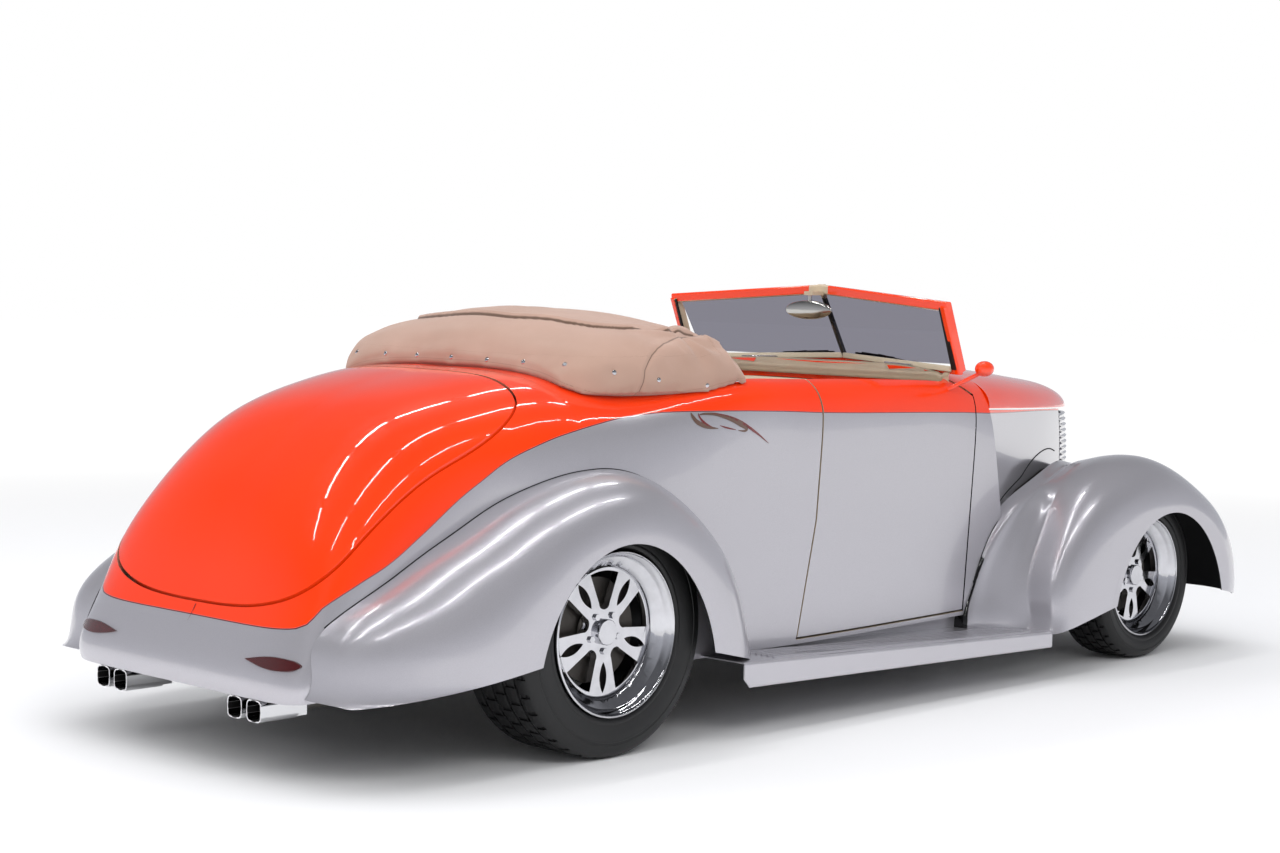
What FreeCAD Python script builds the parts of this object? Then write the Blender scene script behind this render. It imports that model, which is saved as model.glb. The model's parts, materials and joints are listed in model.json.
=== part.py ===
import FreeCAD, Part
import math
import os

from FreeCAD import Vector

# Street rod roadster: all lengths in millimetres, X forward, Y to the left side, Z up.
# Shapes are drawn with the rear axle at X zero and the ground at Z zero, then moved as a whole.

# Main sizes
wheelbase = 2845.0
front_overhang = 650.0
rear_overhang = 990.0
front_tyre_radius = 310.0
rear_tyre_radius = 369.0
front_tyre_width = 215.0
rear_tyre_width = 285.0
front_rim_radius = 219.0
rear_rim_radius = 241.0
front_rim_width = 190.0
rear_rim_width = 258.0
front_wheel_face_y = 800.0
front_wheel_inset = 8.0
rear_wheel_face_y = 800.0
running_gap = 6.0
opening_gap = 7.5
seat_gap = 0.3
overrun = 60.0

# Body shell
body_base_z = 235.0
body_half_width = 700.0
cowl_half_width = 640.0
belt_z = 984.0
body_crown_z = 1117.0
cabin_wall = 66.0
tail_wall = 30.0
wheelhouse_radius = 430.0
cowl_front_x = 2128.0
roll_seam_z = 400.0
tail_roll_x = 500.0

# Cockpit
cockpit_rear_x = 655.0
cockpit_front_x = 1850.0
cockpit_half_width = 606.0
cockpit_corner_radius = 90.0

# Doors
door_top_rear_x = 1020.0
door_belt_rear_x = 1033.0
door_mid_rear_x = 1003.0
door_base_rear_x = 917.0
door_top_front_x = 1950.0
door_base_front_x = 1880.0
door_mid_z = 631.0
door_base_z = 256.0
door_rear_taper = 12.0
door_notch_x = 1822.0
door_notch_high_z = 1068.0
door_notch_low_z = 1004.0
door_inner_y = 500.0
inner_margin = 20.0
sill_split_x = 1488.5

# Hinges
door_hinge_x = 1957.0
door_hinge_y = 630.0
door_hinge_low_z = 600.0
door_hinge_high_z = 880.0
hinge_pin_radius = 4.5
hinge_eye_radius = 8.5
hinge_pocket_room = 2.5
hinge_strap_drop = 40.0
hinge_strap_gauge = 5.0
hinge_strap_height = 20.0
hinge_strap_bite = 15.0
lid_pin_half_length = 140.0
lid_pin_depth = 10.5
hood_pin_radius = 3.0
hood_pin_drop = 8.0

# Deck lid
lid_top_x = -92.0
lid_top_z = 1098.0
lid_base_x = -836.0
lid_base_z = 492.0
lid_half_width = 556.0
lid_depth = 330.0
lid_head_share = 0.1
lid_foot_share = 0.9

# Fenders
fender_half_width = 880.0
front_fender_half_width = 903.0
fender_gauge = 5.0
fender_flare = 30.0
fender_lip_round = 12.0
front_lip_round = 8.0
body_seam_gap = 2.0
fender_meet_z = 560.0
fender_foot_x = 1897.0
rear_fender_base_z = 186.0
rear_fender_tip_z = 255.0
rear_arch_x = -10.0
rear_arch_z = 185.0
rear_arch_half = 370.0
rear_arch_height = 455.0
arch_inner_share = 0.9
front_arch_x = 2848.0
front_arch_z = 120.0
front_arch_half = 378.0
front_arch_height = 440.0
front_fender_heel_z = 118.0
front_fender_low_x = 2477.0
front_fender_low_z = 92.0
front_fender_toe_x = 3225.0
front_fender_toe_z = 204.0
front_fender_chin = 8.0
tuck_share = 0.25
front_inner_curve_share = 1.25

# Running boards
board_outer_y = 880.0
board_rear_x = 470.0
board_front_x = 2108.0
board_top_rear_z = 244.0
board_top_front_z = 180.0
board_rear_depth = 81.0
board_front_depth = 57.0
board_nose = 30.0
board_edge_radius = 9.0
board_tuck = 22.0
board_wall = 4.0
rib_rear_x = 650.0
rib_front_x = 1945.0
rib_slant_share = 0.62
rib_pitch = 24.0
rib_height = 4.0
rib_width = 9.0

# Hood and nose
hood_rear_x = 2048.0
hood_seam_rear_z = 955.0
hood_seam_front_z = 893.0
hood_tip_x = 3402.0
hood_tip_reach = 6.0
hood_tip_half_width = 12.0
hood_tip_height = 6.0
hood_half_width = 622.0
hood_crown_rear_z = 1100.0
hood_gauge = 14.0
hood_plan_power_share = 0.72
side_panel_gauge = 8.0
side_panel_base_z = 520.0
side_panel_heel_z = 566.0
side_panel_toe_z = 650.0
grille_rear_x = 3070.0
grille_base_z = 440.0
grille_top_drop = 30.0
grille_bar_count = 19
grille_bar_height = 9.0
grille_bar_depth = 26.0
grille_post_depth = 20.0
spine_inset = 10.0
spine_depth = 34.0
spine_half_width = 7.0
apron_clearance = 12.0
apron_bulge = 30.0

# Windshield
header_centre_x = 1850.0
header_centre_z = 1368.0
header_side_x = 1752.0
header_side_z = 1321.0
screen_half_width = 640.0
screen_base_centre_x = 2003.0
screen_base_centre_z = 1116.0
screen_base_side_x = 1846.0
screen_base_side_z = 1092.0
screen_foot_drop = 8.0
screen_foot_height = 20.0
screen_end_share = 0.02
header_height = 35.0
post_width = 46.0
centre_bar_width = 14.0
screen_frame_depth = 24.0
bar_round_share = 0.3
glass_gauge = 6.0
pane_centre_gap = 9.0
pane_top_drop = 16.0
pane_base_rise = 3.0
pane_edge_share = 0.045
pane_corner_drop = 18.0
pane_corner_rise = 12.0

# Rear-view mirror under the header
bracket_reach = 75.0
bracket_bite = 5.0
bracket_half_width = 20.0
bracket_low = 22.0
bracket_high = 8.0
mirror_stem_back = 66.0
mirror_stem_low = 62.0
mirror_stem_radius = 7.0
rear_mirror_radius = 34.0
rear_mirror_back = 72.0
rear_mirror_drop = 76.0

# Side mirrors
side_mirror_x = 1848.0
side_mirror_y = 742.0
side_mirror_z = 1108.0
side_mirror_radius = 30.0
side_mirror_arm_radius = 7.0
side_mirror_arm_drop = 8.0
side_mirror_foot_x = 1790.0
side_mirror_foot_y = 612.0
side_mirror_foot_z = 1024.0

# Dashboard
dash_low_z = 960.0
dash_high_z = 1030.0
dash_notch_y = 545.0

# Seats
seat_front_x = 1330.0
seat_rear_x = 800.0
seat_base_z = 392.3
seat_top_z = 520.0
seat_half_width = 535.0
seat_round = 45.0
seat_back_round = 16.0
seat_back_rear_x = 796.0
seat_back_base_z = 402.3
seat_back_top_z = 960.0
seat_back_foot_x = 950.0

# Cover over the folded top
boot_rear_x = 34.0
boot_front_x = 660.0
boot_arm_x = 728.0
boot_arm_inner_y = 520.0
boot_half_width = 650.0
boot_base_z = 1050.0
boot_top_z = 1288.0

# Frame
rail_half_spacing = 400.0
rail_width = 50.0
rail_height = 105.0
rail_base_z = 180.0
rear_rail_half_spacing = 330.0
front_rail_half_spacing = 330.0
crossmember_places = (0, 2, 5, 6, 8)
crossmember_share = 0.17
crossmember_height = 22.0

# Floor
floor_gauge = 4.0
axle_travel = 75.0
firewall_x = 2052.0
bulkhead_x = 668.0
tunnel_half_width = 130.0
tunnel_top_z = 392.0
boot_floor_z = 592.0
tub_inner_y = 470.0
tub_reach_share = 0.9

# Steering
column_low_x = 1990.0
column_low_z = 700.0
column_high_x = 1560.0
column_high_z = 935.0
column_y = 340.0
column_radius = 19.0
steering_wheel_radius = 185.0
steering_wheel_grip = 13.0
steering_hub_radius = 34.0
steering_hub_back = 10.0
steering_hub_length = 40.0
steering_spoke_half = 9.0
steering_spoke_gauge = 6.0
king_pin_y = 610.0

# Knuckles and front suspension
ball_height = 118.0
ball_radius = 22.0
hub_flange_gauge = 14.0
knuckle_half_width = 14.0
knuckle_half_length = 24.0
knuckle_flange_half = 60.0
steering_arm_length = 140.0
steering_arm_inner = 10.0
steering_arm_low = 58.0
steering_arm_high = 40.0
wishbone_half = 140.0
wishbone_radius = 13.0
wishbone_bush_radius = 22.0
wishbone_bush_length = 40.0
wishbone_plate_half = 20.0
wishbone_plate_gauge = 12.0
shock_foot_inset = 60.0
shock_top_rise = 130.0
shock_radius = 32.0

# Rear axle and driveshaft
axle_tube_radius = 38.0
axle_pumpkin_radius = 128.0
driveshaft_front_x = 1630.0
driveshaft_front_z = 296.0
driveshaft_radius = 30.0
spring_radius = 24.0

# Radiator and fuel tank
radiator_front_x = 3045.0
radiator_depth = 60.0
radiator_half_width = 200.0
radiator_base_z = 440.0
radiator_top_z = 850.0
radiator_foot_share = 0.8
tank_rear = 760.0
tank_front = 460.0
tank_base_z = 262.0
tank_top_z = 410.0
tank_round = 12.0

# Exhaust
exhaust_tip_width = 66.0
exhaust_tip_height = 62.0
exhaust_tip_length = 130.0
exhaust_tip_round = 16.0
exhaust_inner_y = 279.0
exhaust_outer_y = 367.0
exhaust_mid_y = (exhaust_inner_y + exhaust_outer_y) / 2.0
exhaust_tip_z = 199.0
exhaust_tip_rear_x = -984.0
exhaust_wall = 4.0
exhaust_back_wall = 10.0
exhaust_box_front = 160.0
exhaust_box_half_width = 75.0
exhaust_box_half_height = 24.0
exhaust_pipe_radius = 26.0
exhaust_run_y = 250.0
silencer_rear_x = 800.0
silencer_front_x = 1350.0
silencer_radius = 70.0
silencer_rise = 10.0
manifold_rear_x = 2380.0
manifold_front_x = 2860.0
manifold_inner_y = 270.3
manifold_outer_y = 312.0
manifold_base_z = 575.0
manifold_top_z = 680.0
manifold_neck_radius = 18.0

# Tail lamps and headlights
tail_lamp_tip_y = 312.0
tail_lamp_outer_y = 526.0
tail_lamp_z = 338.0
tail_lamp_height = 34.0
tail_lamp_proud = 4.0
tail_lamp_depth = 22.0
headlamp_x = 3245.0
headlamp_y = 480.0
headlamp_z = 596.0
headlamp_radius = 80.0

# Wheels
rim_flange = 5.0
rim_edge = 2.0
rim_lip_depth = 9.0
rim_step = 11.0
disc_radius = 190.0
disc_front = 60.0
disc_back = 82.0
hub_radius = 72.0
hub_depth = 124.0
cap_radius = 36.0
cap_depth = 40.0
brake_radius = 158.0
brake_depth = 98.0
brake_gauge = 12.0
spindle_radius = 30.0
spindle_clearance = 0.06
spindle_depth = 62.0
spoke_count = 5
window_inner_share = 0.47
window_outer_share = 0.94
window_root_share = 0.8
window_outer_degrees = 17.5
window_inner_degrees = 13.0
window_reach = 20.0
slot_inner_share = 0.5
slot_outer_share = 0.95
slot_half_width = 11.0
nut_circle_radius = 57.15
nut_radius = 10.5
nut_height = 12.0
nut_sides = 6
tyre_bead_inset = 15.0
tyre_edge = 30.0

front_axle_x = wheelbase
front_axle_z = front_tyre_radius
rear_axle_z = rear_tyre_radius
body_origin = Vector((rear_overhang - wheelbase - front_overhang) / 2.0, 0.0, 0.0)

# Body stations along the cabin, as shares of the cowl front
cabin_station_share = (0.0, 0.08, 0.17, 0.31, 0.45, 0.60, 0.74, 0.84, 0.92, 1.0)
cabin_width_share = (0.985, 0.993, 0.998, 1.0, 1.0, 0.985, 0.960, 0.940, 0.922, 0.905)
cabin_crown_share = (1.0, 1.0, 0.999, 0.997, 0.995, 0.992, 0.990, 0.989, 0.986, 0.975)
cabin_power_width_share = (3.0, 3.2, 3.8, 6.0, 6.0, 6.0, 6.0, 6.0, 5.0, 4.5)
cabin_power_height_share = (8.0, 8.5, 10.0, 18.0, 18.0, 18.0, 18.0, 17.0, 14.0, 12.0)
section_height_share = (0.0, 0.04, 0.2, 0.4, 0.6, 0.74, 0.84, 0.9, 0.94, 0.965, 0.985, 0.995, 1.0)

# Tail stations turned about the rear axle, radii as shares of the rear tyre radius
tail_turn_degrees = (0.0, 9.0, 18.0, 29.0, 40.0, 52.0, 64.0, 75.0, 85.0, 92.0, 98.0)
tail_radius_share = (2.027, 2.030, 2.043, 2.103, 2.187, 2.263, 2.352, 2.436, 2.520, 2.640, 2.690)
tail_width_share = (0.985, 0.965, 0.945, 0.915, 0.885, 0.865, 0.850, 0.835, 0.820, 0.812, 0.807)
tail_height_share = (0.0, 0.04, 0.2, 0.4, 0.56, 0.7, 0.8, 0.87, 0.92, 0.955, 0.98, 0.995, 1.0)
tail_power_height_share = (8.0, 8.0, 8.0, 8.2, 8.6, 9.4, 11.0, 15.0, 21.0, 28.0, 32.0)
tail_power_width_share = (3.0, 3.0, 3.0, 3.05, 3.15, 3.4, 3.9, 5.0, 6.5, 8.0, 9.0)

# Deck lid corners: share along the slope, share of the half width
lid_corner_share = ((0.0, 0.0), (0.0, 0.16), (0.0, 0.32), (0.0, 0.45), (0.035, 0.75), (0.10, 0.93),
                    (0.19, 1.0),
                    (0.50, 0.99), (0.80, 0.945), (0.94, 0.89), (1.01, 0.79), (1.055, 0.62), (1.08, 0.35),
                    (1.085, 0.0))

# Rear fender, turned about the rear axle from front to rear, radii as shares of the tyre radius
rear_fender_degrees = (-103.0, -92.0, -80.0, -65.0, -48.0, -30.0, -12.0, 8.0, 26.0, 42.0, 55.0, 66.0, 75.0,
                       83.0,
                       90.0, 98.0)
rear_seam_share = (1.75, 1.63, 1.545, 1.455, 1.372, 1.330, 1.302, 1.275, 1.290, 1.360, 1.480, 1.680, 1.930,
                   2.270,
                   2.480, 2.640)
rear_lip_share = (1.12, 1.06, 1.0, 0.92, 0.83, 0.77, 0.74, 0.735, 0.76, 0.81, 0.86, 0.93, 1.0, 1.05, 1.08,
                  1.12)
rear_seam_y_share = (1.0, 0.995, 0.985, 0.975, 0.965, 0.955, 0.945, 0.935, 0.92, 0.905, 0.89, 0.875, 0.86,
                     0.845,
                     0.83, 0.82)
fender_turn_share = (-0.24, -0.1, 0.0, 0.12, 0.25, 0.38, 0.5, 0.62, 0.74, 0.86, 1.0, 1.15, 1.3)

# Lower edge of the rear fender from its tail forward
rear_fender_base_points = ((-965.0, rear_fender_tip_z), (-870.0, 230.0), (-520.0, 195.0),
                           (-390.0, rear_fender_base_z))

# Edge of the cowl behind the front fender
fender_edge_points = ((2010.0, 450.0), (1955.0, 340.0))

# Front fender, turned about the front axle from rear to front, radii as shares of the tyre radius
front_fender_degrees = (-101.0, -92.0, -80.0, -66.0, -52.0, -36.0, -18.0, 0.0, 16.0, 32.0, 46.0, 58.0, 70.0,
                        81.0,
                        91.0, 101.0)
front_crown_share = (2.42, 2.31, 2.17, 1.96, 1.80, 1.63, 1.505, 1.458, 1.452, 1.475, 1.555, 1.690, 1.845,
                     1.990,
                     2.09, 2.13)
front_inner_share = (3.10, 3.02, 2.72, 2.32, 1.85, 1.56, 1.395, 1.30, 1.245, 1.240, 1.290, 1.380, 1.480,
                     1.590,
                     1.69, 1.74)
front_lip_share = (1.45, 1.38, 1.28, 1.17, 1.05, 0.95, 0.86, 0.82, 0.84, 0.90, 0.98, 1.06, 1.14, 1.20, 1.24,
                   1.27)
front_inner_y_share = (0.735, 0.735, 0.732, 0.727, 0.680, 0.632, 0.575, 0.500, 0.375, 0.275, 0.215, 0.175,
                       0.150,
                       0.130, 0.125, 0.125)
front_crown_y_share = (0.90, 0.88, 0.86, 0.83, 0.80, 0.79, 0.785, 0.78, 0.775, 0.765, 0.755, 0.745, 0.735,
                       0.72,
                       0.71, 0.70)
front_power_share = (5.0, 4.5, 4.0, 3.2, 2.6, 2.2, 2.0, 2.0, 2.0, 2.0, 2.0, 2.0, 2.0, 2.0, 2.0, 2.0)
front_inner_steps_share = (-0.2, -0.08, 0.0, 0.2, 0.4, 0.6, 0.8, 1.0)
front_outer_steps_share = (0.16, 0.32, 0.48, 0.62, 0.76, 0.88, 1.0, 1.14, 1.28)

# Hood and nose
nose_station_share = (0.0, 0.10, 0.22, 0.36, 0.50, 0.63, 0.75, 0.84, 0.91, 0.96, 0.985, 1.0)
hood_crown_drop_share = (0.0, 0.03, 0.075, 0.15, 0.24, 0.33, 0.42, 0.53, 0.66, 0.80, 0.88, 0.97)
hood_power_width_share = (3.2, 2.3)
hood_power_height_share = (2.4, 2.0)
nose_level_z = (400.0, 480.0, 560.0, 665.0, 750.0, 834.0, 895.0, 960.0)
nose_level_x = (3380.0, 3404.0, 3420.0, 3430.0, 3428.0, 3418.0, 3402.0, 3380.0)
side_rise_share = (0.0, 0.12, 0.25, 0.4, 0.55, 0.7, 0.85, 1.0)
side_end_share = (0.0, 0.12, 0.25, 0.4, 0.55, 0.7, 0.85, 1.0)
nose_end_share = (0.0, 0.14, 0.28, 0.42, 0.56, 0.70, 0.82, 0.90, 0.95, 0.98)
side_edge_points = ((2390.0, 640.0), (2740.0, 690.0), (2890.0, 690.0))
grille_bend_share = (0.0, 0.25, 0.5, 0.7, 0.85, 0.94, 0.985, 1.0)
apron_degrees = (79.0, 86.0, 93.0, 100.0)
apron_across_share = (-1.0, -0.5, 0.0, 0.5, 1.0)

# Dashboard outline from its rear edge down and forward
dash_points = ((1840.0, 1036.0), (1800.0, 1000.0), (1790.0, 930.0), (1830.0, 880.0), (1960.0, 900.0))

# Seat back outline below and behind, up, over and down to the cushion
seat_back_points = ((seat_back_rear_x, seat_back_base_z), (684.0, 940.0), (704.0, seat_back_top_z),
                    (820.0, seat_back_top_z), (860.0, 920.0))

# Cover of the folded top: stations, then width and height at each of them
boot_station_share = (0.0, 0.03, 0.08, 0.16, 0.27, 0.40, 0.60, 0.80, 0.94, 1.0)
boot_width_share = (0.77, 0.82, 0.865, 0.905, 0.935, 0.96, 0.98, 0.995, 1.0, 1.0)
boot_height_share = (0.36, 0.50, 0.665, 0.83, 0.945, 1.0, 0.995, 0.965, 0.94, 0.91)
boot_section_share = ((1.0, 0.0), (1.0, 0.25), (0.988, 0.45), (0.96, 0.58), (0.91, 0.67), (0.82, 0.75),
                      (0.68, 0.82),
                      (0.5, 0.89), (0.3, 0.955), (0.12, 0.99), (0.0, 1.0))
boot_arm_share = ((-0.9, 0.62), (0.0, 0.55), (0.35, 0.46), (0.7, 0.33), (1.0, 0.17))
boot_arm_section_share = ((0.0, 0.0), (0.02, 0.5), (0.12, 0.85), (0.35, 1.0), (0.65, 0.96), (0.88, 0.76),
                          (0.98, 0.4),
                          (1.0, 0.0))

# Frame rails from the tail forward: x, half spacing and height of the middle
rail_points = ((-830.0, rear_rail_half_spacing, 400.0), (-520.0, rear_rail_half_spacing, 450.0),
               (-180.0, rear_rail_half_spacing, 505.0), (180.0, rear_rail_half_spacing, 505.0),
               (480.0, (rail_half_spacing + rear_rail_half_spacing) / 2.0, 290.0),
               (650.0, rail_half_spacing, rail_base_z + rail_height / 2.0),
               (2075.0, rail_half_spacing, rail_base_z + rail_height / 2.0),
               (2380.0, front_rail_half_spacing, 330.0), (3230.0, front_rail_half_spacing, 360.0))

# Engine and gearbox blocks: x, y half width and z ranges
engine_blocks = ((2330.0, 2900.0, 150.0, 330.0, 600.0), (2340.0, 2880.0, 270.0, 600.0, 760.0),
                 (2420.0, 2800.0, 110.0, 760.0, 860.0), (2200.0, 2335.0, 190.0, 240.0, 560.0),
                 (1640.0, 2205.0, 105.0, 250.8, 382.0))

# Exhaust pipe of one side from the tips forward: x, y, z
exhaust_run_points = ((-834.0, exhaust_mid_y, exhaust_tip_z), (-420.0, exhaust_mid_y, exhaust_tip_z),
                      (420.0, exhaust_run_y, exhaust_tip_z), (820.0, exhaust_run_y, exhaust_tip_z))
exhaust_front_points = ((1340.0, exhaust_run_y, exhaust_tip_z), (2300.0, exhaust_run_y, exhaust_tip_z),
                        (2400.0, exhaust_run_y, 560.0))
exhaust_neck_points = ((2400.0, exhaust_run_y, 545.0), (2400.0, 292.0, 582.0))

# Outline of a tail lamp from its tip: share of the length, share of the height
lamp_outline_share = ((0.0, 0.0), (0.18, 0.22), (0.42, 0.44), (0.64, 0.5), (0.84, 0.42), (0.96, 0.22),
                      (1.0, 0.0),
                      (0.96, -0.22), (0.84, -0.42), (0.64, -0.5), (0.42, -0.44), (0.18, -0.22), (0.0, 0.0))

# Half section of a tyre: share of the sidewall, share of the edge
tyre_section_share = ((0.32, 0.0), (0.66, 0.125))
tyre_shoulder_share = ((0.33, 0.5), (0.0, 1.3))

headlamp_stretch_share = (0.5, 0.8, 1.1)
rear_mirror_stretch_share = (0.35, 3.2, 1.0)
side_mirror_stretch_share = (1.3, 1.0, 0.9)


def x_reach():
    return wheelbase + front_overhang + rear_overhang


def finish(shape):
    if shape.Volume < 0.0:
        shape.reverse()
    return shape


def skin(rows):
    surface = Part.BSplineSurface()
    surface.interpolate(rows)
    return surface


def offset_rows(rows, depth):
    # Grid points moved along the normals of the grid
    moved = []
    last_row = len(rows) - 1
    for i, row in enumerate(rows):
        line = []
        last = len(row) - 1
        for j, point in enumerate(row):
            along = rows[min(i + 1, last_row)][j] - rows[max(i - 1, 0)][j]
            across = row[min(j + 1, last)] - row[max(j - 1, 0)]
            normal = along.cross(across)
            normal.normalize()
            line.append(point + normal * depth)
        moved.append(line)
    return moved


def edges_of(surface):
    u0, u1, v0, v1 = surface.bounds()
    return [surface.uIso(u0).toShape(), surface.uIso(u1).toShape(),
            surface.vIso(v0).toShape(), surface.vIso(v1).toShape()]


def sheet_solid(outer_rows, inner_rows):
    outer = skin(outer_rows)
    inner = skin(inner_rows)
    faces = [outer.toShape(), inner.toShape()]
    for a, b in zip(edges_of(outer), edges_of(inner)):
        faces.append(Part.makeRuledSurface(a, b))
    shell = Part.makeShell(faces)
    shell.sewShape()
    if shell.ShapeType != "Shell":
        shell = shell.Shells[0]
    return finish(Part.makeSolid(shell))


def closed_below(rows):
    # Solid under a skin, with flat ends and a flat base
    top = skin(rows)
    faces = [top.toShape()]
    edge = edges_of(top)
    for e in edge[:2]:
        a = e.Vertexes[0].Point
        b = e.Vertexes[-1].Point
        faces.append(Part.Face(Part.Wire([e, Part.makeLine(a, b)])))
    faces.append(Part.makeRuledSurface(edge[2], edge[3]))
    shell = Part.makeShell(faces)
    shell.sewShape()
    if shell.ShapeType != "Shell":
        shell = shell.Shells[0]
    return finish(Part.makeSolid(shell))


def polygon(points):
    return Part.makePolygon(list(points) + [points[0]])


def side_prism(outline, y_from, y_to):
    # Outline of (x, z) pairs carried along Y
    face = Part.Face(polygon([Vector(x, y_from, z) for x, z in outline]))
    return face.extrude(Vector(0.0, y_to - y_from, 0.0))


def plan_prism(outline, z_from, z_to):
    face = Part.Face(polygon([Vector(x, y, z_from) for x, y in outline]))
    return face.extrude(Vector(0.0, 0.0, z_to - z_from))


def box(x0, x1, y0, y1, z0, z1):
    return Part.makeBox(x1 - x0, y1 - y0, z1 - z0, Vector(x0, y0, z0))


def rod(start, end, radius):
    axis = end - start
    return Part.makeCylinder(radius, axis.Length, start, axis)


def cross_rod(x, z, y0, y1, radius):
    return Part.makeCylinder(radius, y1 - y0, Vector(x, y0, z), Vector(0.0, 1.0, 0.0))


def mirrored(shape):
    return shape.mirror(Vector(0.0, 0.0, 0.0), Vector(0.0, 1.0, 0.0))


def joined(shapes):
    result = shapes[0]
    for shape in shapes[1:]:
        result = result.fuse(shape)
    return result.removeSplitter()


def group(shapes):
    return Part.makeCompound(shapes)


def biggest(shape):
    solids = sorted(shape.Solids, key=lambda s: s.Volume)
    return solids[-1]


def without(shape, cutters):
    for cutter in cutters:
        shape = shape.cut(cutter)
    return biggest(shape)


def blend(places, values, place):
    for i in range(len(places) - 1):
        if place <= places[i + 1]:
            span = places[i + 1] - places[i]
            part = max(0.0, (place - places[i]) / span)
            return values[i] + (values[i + 1] - values[i]) * part
    return values[-1]


def rounded_plan(x0, x1, half, radius, z0, z1):
    shape = box(x0, x1, -half, half, z0, z1)
    upright = [e for e in shape.Edges if abs(e.Vertexes[0].Z - e.Vertexes[1].Z) > (z1 - z0) / 2.0]
    return shape.makeFillet(radius, upright)


def stretched_ball(radius, shares):
    shape = FreeCAD.Matrix()
    shape.scale(shares[0], shares[1], shares[2])
    return Part.makeSphere(radius).transformGeometry(shape)


# Section half width at a share of the section height
def section_side(width, height_share, power_height, power_width):
    return width * (1.0 - height_share ** power_height) ** (1.0 / power_width)


def section_points(width, low, high, power_height, power_width, place):
    right = []
    for share in section_height_share:
        y = section_side(width, share, power_height, power_width)
        right.append(place(-y, low + (high - low) * share))
    left = []
    for share in reversed(section_height_share[:-1]):
        y = section_side(width, share, power_height, power_width)
        left.append(place(y, low + (high - low) * share))
    return right + left


def cabin_rows(inset):
    rows = []
    for i, share in enumerate(cabin_station_share):
        x = share * cowl_front_x
        width = body_half_width * cabin_width_share[i] - inset
        high = body_crown_z * cabin_crown_share[i] - inset
        rows.append(section_points(width, body_base_z, high, cabin_power_height_share[i],
                                   cabin_power_width_share[i], lambda y, z, x=x: Vector(x, y, z)))
    return rows


def tail_rows(inset):
    rows = []
    low = wheelhouse_radius
    virtual_low = body_base_z - rear_axle_z
    for i, degrees in enumerate(tail_turn_degrees):
        turn = math.radians(degrees)
        width = body_half_width * tail_width_share[i] - inset
        high = rear_tyre_radius * tail_radius_share[i] - inset
        right = []
        left = []
        for share in tail_height_share:
            radius = low + (high - low) * share
            rise = min((radius - virtual_low) / (high - virtual_low), 1.0)
            y = section_side(width, rise, tail_power_height_share[i], tail_power_width_share[i])
            x = -radius * math.sin(turn)
            z = rear_axle_z + radius * math.cos(turn)
            right.append(Vector(x, -y, z))
            left.append(Vector(x, y, z))
        rows.append(right + left[-2::-1])
    return rows


def door_outline(gap):
    # The upper front corner is notched for the foot of the windshield post
    top = body_crown_z + overrun
    return ((door_top_rear_x - gap, top), (door_top_rear_x - gap, body_crown_z),
            (door_belt_rear_x - gap, belt_z), (door_mid_rear_x - gap, door_mid_z),
            (door_base_rear_x - gap, door_base_z - gap), (door_base_front_x + gap, door_base_z - gap),
            (door_top_front_x + gap, door_notch_low_z + gap), (door_notch_x + gap, door_notch_high_z + gap),
            (door_notch_x + gap, top))


def door_prism(gap):
    outline = door_outline(gap)
    # Rear edge leans forward inside so that it swings clear of the jamb
    outer_y = body_half_width + overrun
    rear_count = 5
    shift = door_rear_taper * (outer_y - door_inner_y) / cabin_wall
    outer = polygon([Vector(x, outer_y, z) for x, z in outline])
    inner = polygon([Vector(x + shift if i < rear_count else x, door_inner_y, z) for i,
                     (x, z) in enumerate(outline)])
    solid = Part.makeLoft([outer, inner], True, True)
    # Inner face follows the wall of the cabin
    front_y = cowl_half_width - cabin_wall - inner_margin
    rear_y = body_half_width - cabin_wall - inner_margin
    rear_x = door_base_rear_x - overrun
    front_x = door_top_front_x + overrun
    keep = plan_prism(((rear_x, rear_y - gap), (front_x, front_y - gap), (front_x, outer_y + overrun),
                       (rear_x, outer_y + overrun)), 0.0, body_crown_z + 2.0 * overrun)
    return solid.common(keep)


def door_edge_x(z):
    # Front edge of the door at a height
    part = (z - door_base_z) / (door_notch_low_z - door_base_z)
    return door_base_front_x + (door_top_front_x - door_base_front_x) * part


def hinge_pin(z, radius, length):
    return Part.makeCylinder(radius, length, Vector(door_hinge_x, door_hinge_y, z - length / 2.0))


def add_door_straps(door):
    # Goosenecked straps reach round the edge of the cowl to their pins
    strap_y = door_hinge_y - hinge_strap_drop
    half = hinge_strap_gauge / 2.0
    pieces = [door]
    for z in (door_hinge_low_z, door_hinge_high_z):
        low = z - hinge_strap_height / 2.0
        high = z + hinge_strap_height / 2.0
        rear_x = door_edge_x(z) - hinge_strap_bite
        pieces.append(box(rear_x, door_hinge_x + half, strap_y - half, strap_y + half, low, high))
        pieces.append(box(door_hinge_x - half, door_hinge_x + half, strap_y, door_hinge_y, low, high))
        pieces.append(hinge_pin(z, hinge_eye_radius, hinge_strap_height))
    whole = joined(pieces)
    for z in (door_hinge_low_z, door_hinge_high_z):
        whole = whole.cut(hinge_pin(z, hinge_pin_radius + seat_gap, 2.0 * hinge_strap_height))
    return biggest(whole)


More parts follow.
